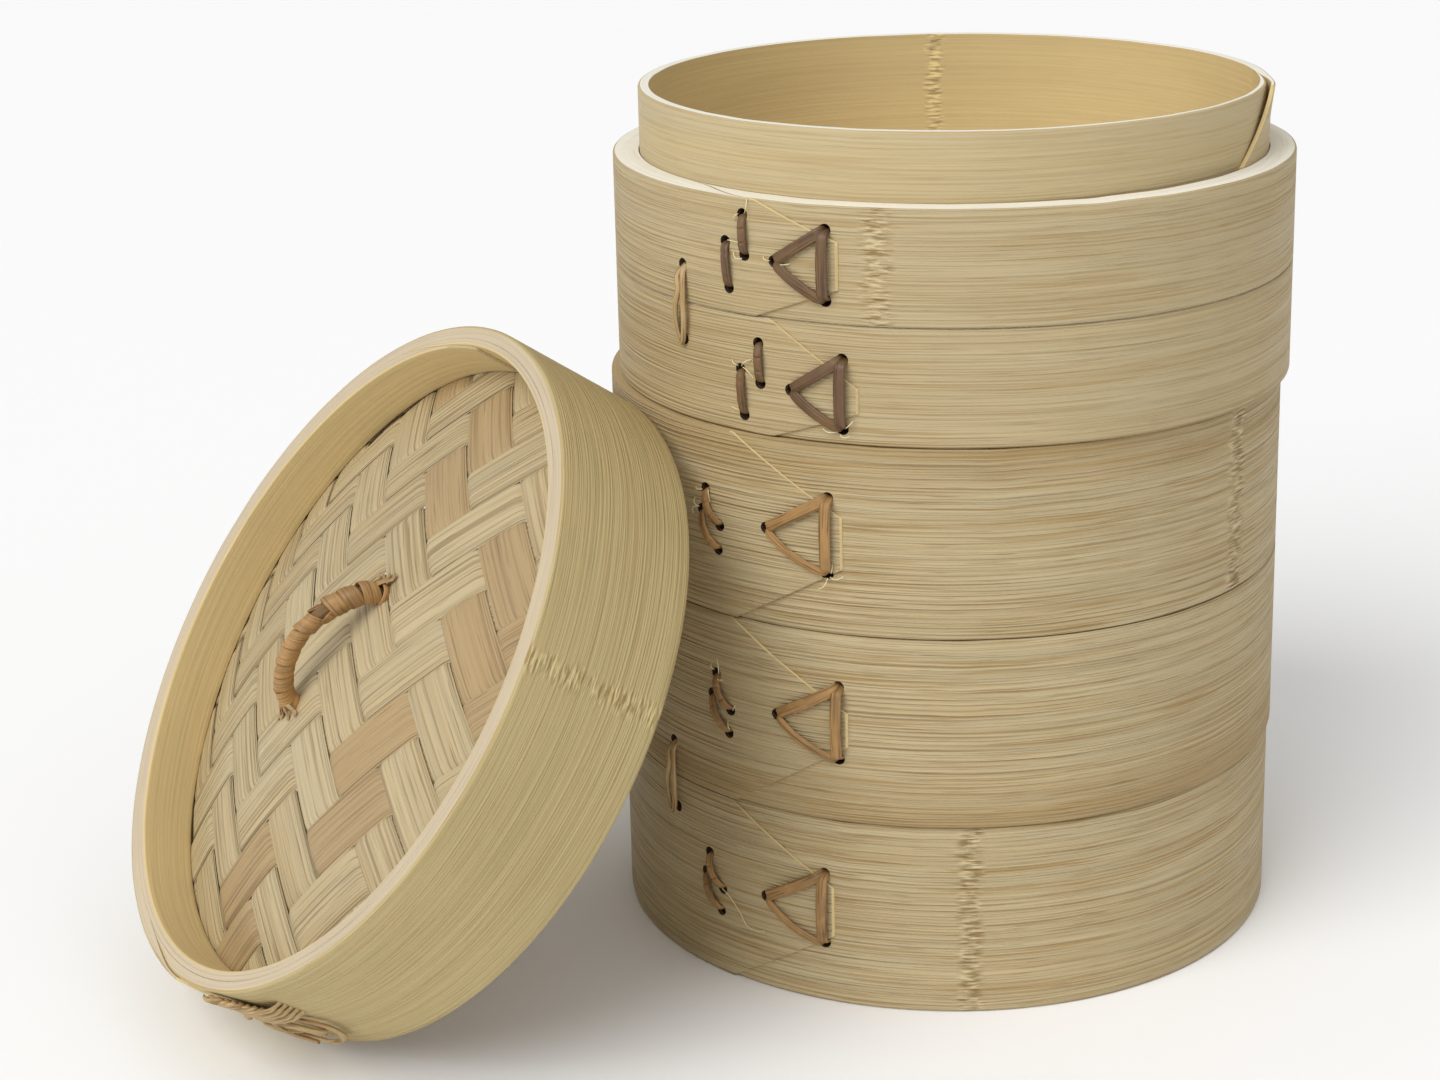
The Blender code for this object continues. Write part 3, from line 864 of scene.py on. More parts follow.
def build_strand_tree():
    """Geometry: a split strand swept along a path, ridged along its length and a little uneven."""
    sizes = {
        "Geometry": None,
        "Width": 3.4 * MM,
        "Thickness": 1.2 * MM,
        "Ridges": 9.0,
        "Tilt": 0.0,
        "Unevenness": 0.12 * MM,
        "Seed": 0.0,
        "Material": None,
    }
    graph, given, out = new_group("Split Strand", "GeometryNodeTree", sizes, ("Geometry",))
    curve = graph.add("GeometryNodeMeshToCurve", {"Mesh": given["Geometry"]})
    facing = named(graph, "facing", data_type="FLOAT_VECTOR")
    upright = graph.add("GeometryNodeSetCurveNormal", {"Curve": curve, "Normal": facing}, mode="FREE")
    marked = store(graph, upright, "along", graph.add("GeometryNodeSplineParameter", output="Length"))
    circle, x, y = round_profile(graph, 26)
    swell = 1.0 + graph.math("COSINE", x * given["Ridges"]) * 0.13
    rise = y * swell * (given["Thickness"] * 0.5) + x * given["Tilt"]
    outline = moved(graph, circle, Position=graph.combine(rise, x * (given["Width"] * 0.5), 0.0))
    outline = store(graph, outline, "across", graph.add("GeometryNodeSplineParameter", output="Factor"))
    girth = named(graph, "across") * given["Width"] * 2.2
    seeded = named(graph, "along") + given["Seed"] * 0.1
    fibre = graph.combine(seeded, girth, 0.0)
    strand = swept(graph, marked, outline)
    strand = store(graph, strand, FIBRE_MAP, fibre, data_type="FLOAT2", domain="CORNER")
    inputs = {"Vector": position(graph), "W": given["Seed"], "Scale": 420.0, "Detail": 2.0}
    rough = graph.add("ShaderNodeTexNoise", inputs, "Color", noise_dimensions="4D")
    shake = graph.scaled(graph.vector("SUBTRACT", rough, (0.5, 0.5, 0.5)), given["Unevenness"] * 2.0)
    finish_tree(graph, moved(graph, strand, Offset=shake), given["Material"], out)


def grown(source, tree_name, values):
    """Runs a geometry tree on an object with its inputs set, and returns the plain mesh."""
    modifier = source.modifiers.new(tree_name, "NODES")
    modifier.node_group = bpy.data.node_groups[tree_name]
    for item in modifier.node_group.interface.items_tree:
        if item.item_type == "SOCKET" and item.in_out == "INPUT" and item.name in values:
            modifier[item.identifier] = values[item.name]
    mesh = baked(source)
    mesh.materials.clear()
    mesh.materials.append(values["Material"])
    mesh.polygons.foreach_set("material_index", [0] * len(mesh.polygons))
    return mesh


def path_object(runs):
    """A mesh of open paths, each a curve's points with their outward directions, for a strand tree."""
    mesh = bpy.data.meshes.new("path")
    points = []
    facings = []
    edges = []
    for curve, outwards in runs:
        first = len(points)
        points += curve
        facings += outwards
        edges += [(first + i, first + i + 1) for i in range(len(curve) - 1)]
    mesh.from_pydata(points, edges, [])
    layer = mesh.attributes.new("facing", "FLOAT_VECTOR", "POINT")
    layer.data.foreach_set("vector", [number for facing in facings for number in facing])
    return linked("path", mesh)


def strand_mesh(runs, home, material, seed, **shape):
    """Strands along runs, put in a home's place. A shape's names are the tree's, in small letters."""
    values = {"Seed": seed, "Material": bpy.data.materials[material]}
    values.update({key.capitalize(): value for key, value in shape.items()})
    mesh = grown(path_object(runs), "Split Strand", values)
    mesh.transform(PLACES[home])
    return mesh


# Woven and slatted sheets


def build_strip_tree():
    """Geometry: a row of strips across a circle, woven over and under another row, on a dome."""
    sizes = {
        "Geometry": None,
        "Count": 12,
        "First Offset": 0.0,
        "Pitch": 0.016,
        "Width": 0.0148,
        "Thickness": 0.001,
        "Direction": 0.0,
        "Circle Radius": 0.09,
        "Steps Along": 120,
        "Other Direction": 0.0,
        "Other Offset": 0.0,
        "Other Pitch": 0.016,
        "Dark Strip": -9.0,
        "Float Phase": 1.5,
        "Bunching": 0.0,
        "Lift": 0.0,
        "Dome Foot": 0.0,
        "Dome Rise": 0.0,
        "Ridges": 8.0,
        "Unevenness": 0.0003,
        "Seed": 1,
        "Material": None,
    }
    graph, given, out = new_group("Strip Row", "GeometryNodeTree", sizes, ("Geometry",))

    def sine(angle):
        return graph.math("SINE", angle)

    def cosine(angle):
        return graph.math("COSINE", angle)

    def squared_off(value, power):
        return graph.math("SIGN", value) * abs(value) ** power

    # A straight strip from -1 to 1 each way for each number, with a squared-off, ridged section.
    row = graph.add("GeometryNodeMeshLine", {"Count": given["Count"], "Offset": (0.0, 0.0, 0.0)})
    marked = store(graph, row, "strip", graph.add("GeometryNodeInputIndex"))
    line = graph.add("GeometryNodeCurvePrimitiveLine", {"Start": (-1.0, 0.0, 0.0), "End": (1.0, 0.0, 0.0)})
    cut = graph.add("GeometryNodeResampleCurve", {"Curve": line, "Count": given["Steps Along"]})
    level = graph.add("GeometryNodeSetCurveNormal", {"Curve": cut}, mode="Z_UP")
    circle, x, y = round_profile(graph, 28)
    side = squared_off(x, 0.6)
    up = squared_off(y, 0.35) * (0.9 + cosine(side * given["Ridges"]) * 0.16)
    strip = swept(graph, level, moved(graph, circle, Position=graph.combine(up, side, 0.0)))
    strips = graph.add("GeometryNodeInstanceOnPoints", {"Points": marked, "Instance": strip})
    real = graph.add("GeometryNodeRealizeInstances", {"Geometry": strips})

    # Each strip to its place in the row, cut to the circle, and drawn together where it meets the other row.
    number = named(graph, "strip")
    here = graph.split(position(graph))
    limit = given["Circle Radius"] * 0.985
    middle = given["First Offset"] + number * given["Pitch"]
    half = given["Width"] * 0.5
    low = graph.math("MAXIMUM", middle - half, limit * -1.0)
    high = graph.math("MINIMUM", middle + half, limit)
    across = low + (high - low) * ((here[1] + 1.0) * 0.5)
    reach = graph.math("SQRT", graph.math("MAXIMUM", given["Circle Radius"] ** 2.0 - across**2.0, 0.000001))
    along = here[0] * reach
    turned = given["Direction"] - given["Other Direction"]
    slope = sine(turned)
    even = (along * slope + (across * cosine(turned) - given["Other Offset"])) / given["Other Pitch"]
    fade = graph.ramp(abs(here[0]), 0.999, 0.9)
    along = along + sine(even * TURN) * fade * given["Bunching"] * (given["Other Pitch"] / slope)
    wander = graph.combine(along * 22.0, number * 3.7, 0.0)
    inputs = {"Scale": 1.0, "Detail": 1.0, "W": given["Seed"], "Vector": wander}
    swing = graph.add("ShaderNodeTexNoise", inputs, noise_dimensions="4D")
    across = across + (swing - 0.5) * (given["Unevenness"] * 4.0)
    turn_cosine = cosine(given["Direction"])
    turn_sine = sine(given["Direction"])
    x = along * turn_cosine - across * turn_sine
    y = along * turn_sine + across * turn_cosine

    # Over two and under two of the other row, each crossing one step further on than on the strip before.
    other = y * cosine(given["Other Direction"]) - x * sine(given["Other Direction"])
    crossing = (other - given["Other Offset"]) / given["Other Pitch"]
    phase = crossing - number - given["Float Phase"]
    wave = graph.ramp(cosine(phase * (math.pi / 2)), -0.2, 0.2, -1.0, 1.0)
    outness = (graph.math("SQRT", x**2.0 + y**2.0) / given["Circle Radius"]) ** 2.0
    dome = given["Dome Foot"] + given["Dome Rise"] * (1.0 - outness)
    z = dome + wave * given["Lift"] + here[2] * given["Thickness"] * 0.5
    z = z + here[1] ** 2.0 * (given["Thickness"] * -0.22)

    chance = graph.add("FunctionNodeRandomValue", {"ID": number, "Seed": given["Seed"]}, 1)
    darkness = 1.2 - abs(number - given["Dark Strip"]) * 0.6
    shaded = store(graph, real, "Strip Tone", graph.math("MAXIMUM", chance * 0.65, darkness))
    fibre = graph.combine(along + number * 0.31, across, 0.0)
    mapped = store(graph, shaded, FIBRE_MAP, fibre, data_type="FLOAT2", domain="CORNER")
    finish_tree(graph, moved(graph, mapped, Position=graph.combine(x, y, z)), given["Material"], out)


def joined(meshes):
    """Several meshes as one, with each one's materials."""
    total = bmesh.new()
    materials = []
    for mesh in meshes:
        first = len(total.faces)
        total.from_mesh(mesh)
        total.faces.ensure_lookup_table()
        for face in total.faces[first:]:
            material = mesh.materials[face.material_index]
            if material not in materials:
                materials.append(material)
            face.material_index = materials.index(material)
    result = as_mesh(total, "joined")
    for material in materials:
        result.materials.append(material)
    return result


# Settings


def colour_setting(label, about, colour):
    limits = {"size": 4, "subtype": "COLOR", "min": 0.0, "max": 1.0}
    return FloatVectorProperty(name=label, description=about, default=colour, **limits)


def length_setting(label, about, length):
    return FloatProperty(name=label, description=about, default=length, unit="LENGTH", min=0.0)


class SteamerSizes(bpy.types.PropertyGroup):
    """Sizes that the frame leaves open."""

    hoop_edge: length_setting("Hoop edge", "Rounding of a hoop's outer edges", 0.6 * MM)
    tongue_step: length_setting("Tongue step", "Thickness of a hoop's outer end", 0.8 * MM)
    hole_width: length_setting("Hole width", "Width of a hole burnt for the rattan", 3.5 * MM)
    strand_width: length_setting("Strand width", "Width of a lacing's strand", 3.3 * MM)
    strand_thickness: length_setting("Strand thickness", "Thickness of a lacing's strand", 1.3 * MM)
    stitch_width: length_setting("Stitch width", "Width of a stitch's strand", 2.7 * MM)
    weave_width: length_setting("Weave strip width", "Width of a strip of the lid's weave", 14.7 * MM)
    weave_thickness: length_setting("Weave strip thickness", "Thickness of such a strip", 0.8 * MM)
    wrap_turns: IntProperty(name="Wrap turns", description="Turns round the grip", default=12, min=3)


class SteamerColours(bpy.types.PropertyGroup):
    """Colours of the bamboo, the rattan and the floor."""

    straw: colour_setting("Straw", "Pale ground of the hoops", (0.482, 0.39, 0.226, 1.0))
    streak: colour_setting("Streak", "Broad tan bands of the hoops", (0.435, 0.322, 0.16, 1.0))
    line: colour_setting("Line", "Fine dark lines of the hoops", (0.355, 0.22, 0.075, 1.0))
    honey: colour_setting("Honey", "Inner side of the collar and the rings", (0.68, 0.525, 0.26, 1.0))
    olive: colour_setting("Olive", "Ground of the lid's band", (0.51, 0.405, 0.195, 1.0))
    cream: colour_setting("Cream", "Sawn edges of the hoops", (0.92, 0.88, 0.76, 1.0))
    # Painted shade: the darker golden band beside the seams.
    seam_shade: colour_setting("Seam shade", "Steam stains beside the seams", (0.38, 0.262, 0.118, 1.0))
    dark_rattan: colour_setting("Dark rattan", "Lacings of the top tier", (0.13, 0.068, 0.034, 1.0))
    tan_rattan: colour_setting("Tan rattan", "Base tier's lacings and the grip", (0.26, 0.145, 0.05, 1.0))
    # Painted shade inside the drilled holes.
    burnt: colour_setting("Burnt", "Inside of the drilled holes", (0.055, 0.029, 0.014, 1.0))
    floor: colour_setting("Floor", "The studio floor", (0.98, 0.98, 0.98, 1.0))


# Pieces

INNER_FACE = "Bamboo Inner Face"
COLLAR_MATERIALS = ("Bamboo Collar", "Cut Edge", INNER_FACE)
LACING_DRILL = 5.0 * MM
LID_DRILL = 3.0 * MM

# Each hoop's tongue, as its tip's angle, lower and upper edge and taper, and then its bamboo node's angle and
# width, in degrees and millimetres.
Hoop = namedtuple("Hoop", "tip low high taper node_angle node_width")
HOOPS = {
    "base": (
        Hoop(-111.8, 20.7, 35.6, 19.8, -86.5, 10.0),
        Hoop(-108.9, 22.8, 32.6, 21.0, 150.0, 7.0),
        Hoop(-109.5, 19.0, 33.6, 19.4, -38.0, 12.0),
    ),
    "top": (
        Hoop(-108.1, 8.8, 15.7, 14.6, 95.0, 7.0),
        Hoop(-111.2, 9.4, 22.4, 14.4, -105.2, 12.0),
    ),
}
HOOP_NODE_RISE = 0.07 * MM
# The height and half width of a darker golden band painted on some hoops as the shade beside a seam.
SEAM_SHADES = {
    ("base", 2): (56.6 * MM, 17 * MM),
    ("base", 3): (166.6 * MM, 16 * MM),
    ("top", 1): (-0.2 * MM, 1.2 * MM),
}


def each_hoop(tiers=tuple(HOOPS)):
    """Each hoop's tier, number, place, ring and Hoop."""
    for tier in tiers:
        for number, hoop in enumerate(HOOPS[tier], 1):
            yield tier, number, PLACES[tier], ring_sizes(f"{tier}_hoop_{number}", PLACES[tier]), hoop


def build_materials(context):
    colours = context.scene.steamer_colours
    names = ("straw", "streak", "line", "honey", "olive", "seam_shade")
    straw, streak, line, honey, olive, seam_shade = (tuple(getattr(colours, name)) for name in names)
    dark, tan = tuple(colours.dark_rattan), tuple(colours.tan_rattan)
    for name, colour, seed in (
        ("Cut Edge", tuple(colours.cream), 2.0),
        ("Lid Edge", (0.60, 0.49, 0.335, 1.0), 3.0),
        # The base hoops' sawn edges are painted golden brown, as the shade between the hoops and under the
        # top tier.
        ("Worn Edge", tone(streak, 1.05), 5.0),
    ):
        cut_edge_material(name, colour, seed)
    # The holes' walls are painted very dark, as the shade inside them.
    hole_material(tuple(colours.burnt))
    radius = ring_sizes("base_hoop_2", PLACES["base"]).outer
    for tier, number, _, _, hoop in each_hoop():
        node_at = (math.radians(hoop.tip) - math.radians(hoop.node_angle)) % TURN * radius
        contrast = 1.25 if tier == "base" else 0.85
        # The darker golden band, painted as the shade beside a seam.
        stain = (seam_shade, *SEAM_SHADES.get((tier, number), (0.0, 0.0)))
        look = Look(straw, line, streak, node_at, hoop.node_width * MM / 2, 0.0006, contrast, *stain)
        bamboo_material(f"Bamboo {tier.title()} Hoop {number}", look, 3.0 * number + len(tier))
    inside = (math.radians(123.0) * ring_sizes("top_inner_ring_1", PLACES["top"]).outer, 4 * MM, 0.001, 0.15)
    lid_node = math.radians(274.0) * ring_sizes("lid_hoop", PLACES["lid"]).outer
    for name, seed, *look in (
        ("Bamboo Collar", 11.0, tone(straw, 1.08), line, tone(honey, 0.78), 0.0, 0.0, 0.0008, 0.45),
        ("Bamboo Collar Inside", 15.0, *(tone(honey, share) for share in (1.07, 0.6, 0.92)), *inside),
        (INNER_FACE, 13.0, honey, tone(honey, 0.6), tone(honey, 0.9), 0.0, 0.0, 0.001, 0.25),
        ("Bamboo Lid Band", 17.0, olive, tone(line, 1.1), tone(olive, 0.86), lid_node, 5 * MM, 0.0005, 0.75),
        ("Bamboo Slat", 19.0, straw, line, streak, 0.0, 0.0, 0.0008, 0.8),
    ):
        bamboo_material(name, Look(*look), seed)
    brown = (streak[0] * 0.86, streak[1] * 0.76, streak[2] * 0.7, 1.0)
    weave_material("Bamboo Weave", Look(tone(straw, 0.92), brown, streak, line_width=0.0009), 23.0)
    for name, base, warm, seed in (
        ("Dark Rattan", dark, tone(tan, 0.6), 29.0),
        ("Tan Rattan", tan, tone(tan, 1.35), 31.0),
        ("Grip Rattan", tone(tan, 1.15), tone(tan, 1.5), 33.0),
        ("Pale Rattan", tone(tan, 1.4), tone(streak, 0.95), 37.0),
        ("Loose Fibre", tone(straw, 1.4), tone(straw, 1.7), 41.0),
    ):
        rattan_material(name, base, warm, seed)


FLOOR_SIZE = 6.0
WORLD_LIGHT = 0.42
# Each sun lamp's bearing and height in degrees, its softness in degrees and its strength.
SUNS = {"key": (-131.0, 42.0, 45.0, 1.9), "top": (-60.0, 70.0, 90.0, 0.6)}
CAMERA = {
    "lens": 68.64,
    "sensor_width": 36.0,
    "shift_x": -0.0477,
    "shift_y": -0.0878,
    "clip_start": 0.05,
    "clip_end": 50.0,
}
CAMERA_STEP = Vector((-0.0496, -0.8, 0.3773))
CAMERA_TILT = math.radians(90 - 15.93)
CAMERA_ROLL = math.radians(-0.99)


class STEAMER_OT_stage(bpy.types.Operator):
    """Builds the plain floor, the soft studio lights and the camera"""

    bl_idname = "steamer.stage"
    bl_label = "Stage"

    def execute(self, context):
        scene = context.scene
        graph, shader = new_material("Pale Floor")
        graph.feed(shader.inputs["Base Color"], tuple(scene.steamer_colours.floor))
        graph.feed(shader.inputs["Roughness"], 0.8)
        shape = bmesh.new()
        bmesh.ops.create_grid(shape, x_segments=2, y_segments=2, size=FLOOR_SIZE)
        mesh = as_mesh(shape, "studio_floor")
        mesh.materials.append(bpy.data.materials["Pale Floor"])
        floor = linked("studio_floor", mesh)
        floor.location.z = -0.2 * MM
        floor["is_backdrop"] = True

        scene.view_settings.view_transform = "Standard"
        scene.world = bpy.data.worlds.new("studio")
        scene.world.use_nodes = True
        background = scene.world.node_tree.nodes["Background"]
        background.inputs[0].default_value = (1.0, 1.0, 1.0, 1.0)
        background.inputs[1].default_value = WORLD_LIGHT
        axis = PLACES["top"].translation
        for name, (bearing, rise, softness, strength) in SUNS.items():
            light = bpy.data.lights.new(name, "SUN")
            light.angle = math.radians(softness)
            light.energy = strength
            lamp = linked(name, light)
            lamp.location = (axis.x, axis.y, 1.0)
            lamp.rotation_euler = (math.radians(90.0 - rise), 0.0, math.radians(bearing + 90.0))

        camera = bpy.data.cameras.new("camera")
        for name, number in CAMERA.items():
            setattr(camera, name, number)
        view = linked("camera", camera)
        view.location = Vector((axis.x, axis.y, 0.0)) + CAMERA_STEP
        turn = Matrix.Rotation(CAMERA_TILT, 4, "X") @ Matrix.Rotation(CAMERA_ROLL, 4, "Z")
        view.matrix_world = Matrix.Translation(view.location) @ turn
        scene.camera = view
        return {"FINISHED"}


class STEAMER_OT_hoops(bpy.types.Operator):
    """Builds the tiers' outer hoops, with their tongues, nodes and drilled holes"""

    bl_idname = "steamer.hoops"
    bl_label = "Hoops"

    def execute(self, context):
        sizes = context.scene.steamer_sizes
        for tier, number, place, ring, hoop in each_hoop():
            low, high = (ring.bottom + height * MM for height in (hoop.low, hoop.high))
            lap = Lap(math.radians(hoop.tip), low, high, math.radians(hoop.taper), sizes.tongue_step, -1)
            socket = None
            if number == 1:
                shelf = ring_sizes(f"{tier}_inner_ring_1", place).bottom
                socket = Ring((ring.inner + ring.outer) / 2, ring.outer, ring.bottom, shelf)
            band_node = BandNode(math.radians(hoop.node_angle), hoop.node_width * MM, HOOP_NODE_RISE)
            mesh = bent_band(ring, lap, 10.0 * number + len(tier), sizes.hoop_edge, band_node, socket)
            spots = list(lacing_corners(f"{tier}_lacing_{number}", place))
            for count in (1, 2):
                spots += strand_ends(f"{tier}_stitch_{number}_{count}", place)
            if number > 1:
                spots.append(strand_ends(f"{tier}_seam_tie_{number - 1}", place)[0])
            if number < len(HOOPS[tier]):
                spots.append(strand_ends(f"{tier}_seam_tie_{number}", place)[1])
            holes = [hole_at(ring.outer, spot) for spot in spots]
            # The base tier's edges take the painted shade of the seams and of the top tier's overhang.
            edge = "Cut Edge" if tier == "top" else "Worn Edge"
            materials = (f"Bamboo {tier.title()} Hoop {number}", edge, INNER_FACE)
            width = sizes.hole_width / 2
            name = f"{tier}_hoop_{number}"
            finish_band(name, mesh, tier, materials, holes, width, LACING_DRILL)
        return {"FINISHED"}


class STEAMER_OT_inner_rings(bpy.types.Operator):
    """Builds the rings behind the hoops, whose topmost one stands out as the collar"""

    bl_idname = "steamer.inner_rings"
    bl_label = "Inner rings"

    def execute(self, context):
        inside = (*COLLAR_MATERIALS[:2], "Bamboo Collar Inside")
        for tier, angles, peel, materials in (
            ("base", (40.0, 150.0, 20.0), 0.0, COLLAR_MATERIALS),
            ("top", (-32.7,), 1.5 * MM, inside),
        ):
            for number, angle in enumerate(angles, 1):
                name = f"{tier}_inner_ring_{number}"
                ring = ring_sizes(name, PLACES[tier])
                tip = ring.top - 19 * MM
                lap = Lap(math.radians(angle), ring.bottom, tip, math.radians(17.0), 1.2 * MM, 1, peel)
                mesh = bent_band(ring, lap, 50.0 + number + len(tier), 0.7 * MM, wobble=0.15 * MM)
                finish_band(name, mesh, tier, materials)
        return {"FINISHED"}


class STEAMER_OT_lacings(bpy.types.Operator):
    """Builds the rattan triangles that pin the hoops' tongues, and the stitches behind them"""

    bl_idname = "steamer.lacings"
    bl_label = "Lacings and stitches"

    def execute(self, context):
        sizes = context.scene.steamer_sizes
        # By tier: the rattan, how far the lowest strand bows and how slim it is, and how far a stitch bows.
        manners = {
            "base": ("Tan Rattan", 1.1 * MM, 0.7, -0.9 * MM),
            "top": ("Dark Rattan", 0.4 * MM, 0.9, 0.4 * MM),
        }
        for tier, number, place, ring, _ in each_hoop():
            material, bow, slim, stitch_bow = manners[tier]
            name = f"{tier}_lacing_{number}"
            point, upper, lower = lacing_corners(name, place)
            runs = [
                band_strand(ring.outer, point, upper),
                band_strand(ring.outer, upper, lower, arch=0.45 * MM, lift=0.5 * MM),
            ]
            last = [band_strand(ring.outer, lower, point, side=bow)]
            meshes = []
            for group, share in ((runs, 1.0), (last, slim)):
                shape = {"width": sizes.strand_width * share, "thickness": sizes.strand_thickness}
                meshes.append(strand_mesh(group, tier, material, number + share, **shape))
            new_piece(f"{name}_strands", joined(meshes), tier, [name])
            for count in (1, 2):
                name = f"{tier}_stitch_{number}_{count}"
                runs = [band_strand(ring.outer, *strand_ends(name, place), side=stitch_bow)]
                shape = {"width": sizes.stitch_width, "thickness": 1.3 * MM}
                mesh = strand_mesh(runs, tier, material, 10.0 * count + number, **shape)
                new_piece(f"{name}_strand", mesh, tier, [name])
        return {"FINISHED"}


# A seam tie's loop: millimetres aside, the share of the way down, and millimetres off the hoop.
TIE_LOOP = (
    (0.3, 0.0, -1.5),
    (1.0, 0.12, 0.9),
    (1.9, 0.45, 1.8),
    (1.7, 0.8, 1.5),
    (0.2, 1.04, 1.1),
    (-1.7, 0.9, 1.3),
    (-1.6, 0.6, 1.9),
    (0.4, 0.32, 2.3),
    (-0.9, 0.14, 1.3),
    (-0.2, 0.0, -1.5),
)


class STEAMER_OT_seam_ties(bpy.types.Operator):
    """Builds the looped rattan ties across the seams between a tier's hoops"""

    bl_idname = "steamer.seam_ties"
    bl_label = "Seam ties"

    def execute(self, context):
        for tier, number, place, ring, _ in each_hoop():
            if number == 1:
                continue
            name = f"{tier}_seam_tie_{number - 1}"
            upper, lower = strand_ends(name, place)
            loop = []
            for aside, share, rise in TIE_LOOP:
                angle = math.degrees(lerp(upper[0], lower[0], share) + aside * MM / ring.outer)
                loop.append((angle, lerp(upper[1], lower[1], share) / MM, rise * MM))
            runs = [laid_strand(ring.outer, loop)]
            mesh = strand_mesh(runs, tier, "Pale Rattan", 39.0 + number, width=1.7 * MM, thickness=1.3 * MM)
            new_piece(f"{name}_strands", mesh, tier, [name])
        return {"FINISHED"}


SLAT_GAP = 3.6 * MM


class STEAMER_OT_floors(bpy.types.Operator):
    """Builds each tier's slatted floor on its two crossbars, with the ring that holds it down"""

    bl_idname = "steamer.floors"
    bl_label = "Slatted floors"

    def execute(self, context):
        for tier in HOOPS:
            place = PLACES[tier]
            names = [name for name in sorted(frame["nodes"]) if name.startswith(f"{tier}_slat_")]
            slats = [local_points(name, place) for name in names]
            middles = [sum(points, Vector()) / len(points) for points in (slats[0], slats[-1])]
            run = middles[1] - middles[0]
            pitch = math.hypot(run.x, run.y) / (len(names) - 1)
            direction = math.atan2(run.y, run.x) - math.pi / 2
            heights = [point.z for point in slats[0]]
            values = {
                "Count": len(names),
                "First Offset": -pitch * (len(names) - 1) / 2,
                "Pitch": pitch,
                "Width": pitch - SLAT_GAP,
                "Thickness": (max(heights) - min(heights)) * 0.96,
                "Direction": direction,
                "Other Direction": direction + math.pi / 2,
                "Circle Radius": max(math.hypot(p.x, p.y) for points in slats for p in points),
                "Steps Along": 60,
                "Dome Foot": (max(heights) + min(heights)) / 2,
                "Ridges": 5.0,
                "Unevenness": 0.1 * MM,
                "Seed": 3 + len(tier),
                "Material": bpy.data.materials["Bamboo Slat"],
            }
            mesh = grown(linked("slats", bpy.data.meshes.new("slats")), "Strip Row", values)
            mesh.transform(place)
            shade_round(mesh, 50.0)
            new_piece(f"{tier}_floor_slats", mesh, tier, names)
            for count in (1, 2):
                bar_piece(f"{tier}_crossbar_{count}", "bar", tier, direction + math.pi / 2)
            name = f"{tier}_floor_ring"
            ring = ring_sizes(name, place)
            lap = Lap(math.radians(75.0), ring.bottom, ring.bottom + 2 * MM, math.radians(8.0), 0.9 * MM, 1)
            mesh = bent_band(ring, lap, 70.0 + len(tier), 0.6 * MM, wobble=0.08 * MM, inside=True)
            finish_band(name, mesh, tier, COLLAR_MATERIALS[::-1])
        return {"FINISHED"}


def bar_piece(node, ending, home, direction):
    """A CAD bar as a piece, with its edges rounded and a fibre map along it."""
    shape = bmesh.new()
    shape.from_mesh(frame["nodes"][node].data)
    for layer in list(shape.loops.layers.uv.values()):
        shape.loops.layers.uv.remove(layer)
    bmesh.ops.remove_doubles(shape, verts=shape.verts, dist=0.00001)
    bmesh.ops.dissolve_limit(shape, angle_limit=0.02, verts=shape.verts, edges=shape.edges)
    sharp = [edge for edge in shape.edges if len(edge.link_faces) == 2 and edge.calc_face_angle() > 0.5]
    bmesh.ops.bevel(shape, geom=sharp, offset=0.5 * MM, segments=3, profile=0.6, affect="EDGES")
    bmesh.ops.triangulate(shape, faces=shape.faces)
    bmesh.ops.recalc_face_normals(shape, faces=shape.faces)
    fibre = shape.loops.layers.uv.new(FIBRE_MAP)
    turn = Matrix.Rotation(-direction, 4, "Z") @ PLACES[home].inverted()
    for face in shape.faces:
        for loop in face.loops:
            local = turn @ loop.vert.co
            loop[fibre].uv = (local.x, local.y + local.z)
    mesh = as_mesh(shape, node)
    shade_round(mesh, 30.0)
    mesh.materials.append(bpy.data.materials["Bamboo Slat"])
    new_piece(f"{node}_{ending}", mesh, home, [node])


# How much smaller the lid's hoop is than its CAD ring, so that its unevenness stays inside it.
LID_TRIM = 0.22 * MM
# Places on the lid's band are in degrees round it and millimetres up.
KNOT_OVAL = (-66.0, -27.0, 7.0, 9.8)
KNOT_STEM = ((-15.0, -1 * MM), (-18.0, 1.2 * MM), (-27.0, 0.9 * MM), (-32.0, 0.4 * MM))
BRAID_STEPS = 15


def knot_runs(radius):
    """The knot on the lid's band: an oval loop, the stem through it, the wraps round it and a short braid."""
    angle, height, half_width, half_height = KNOT_OVAL
    oval = []
    for step in range(15):
        turn = TURN * step / 12
        rise = (0.9 if step < 12 else 1.8) * MM + 0.3 * MM * math.sin(turn)
        oval.append((angle - half_width * math.cos(turn), height - half_height * math.sin(turn), rise))
    yield laid_strand(radius, oval)
    for shift in (-1.3, 0.0, 1.3):
        spots = (*KNOT_STEM[:-1], (KNOT_STEM[-1][0] + shift, KNOT_STEM[-1][1]))
        yield laid_strand(radius, [(-65.5 + shift - 0.12 * (up + 25), up, rise) for up, rise in spots])
    for count in range(5):
        up = -9.0 - 1.9 * count
        arch = 1.5 * MM + 0.25 * MM * (count % 2)
        spots = [(-58.6, up - 1.0, -MM), (-60.5, up, arch), (-68.0, up, arch), (-76.5, up, -MM)]
        yield laid_strand(radius, spots)
    for shift in (0.0, TURN / 3, -TURN / 3):
        braid = []
        for step in range(BRAID_STEPS):
            sway = step * 1.1 + shift
            turn = -71.0 + 2.0 * math.sin(sway) + 0.42 * step
            braid.append((turn, 0.8 - 0.75 * step - 1.2, 0.8 * MM + 0.6 * MM * math.cos(sway)))
        yield laid_strand(radius, braid)


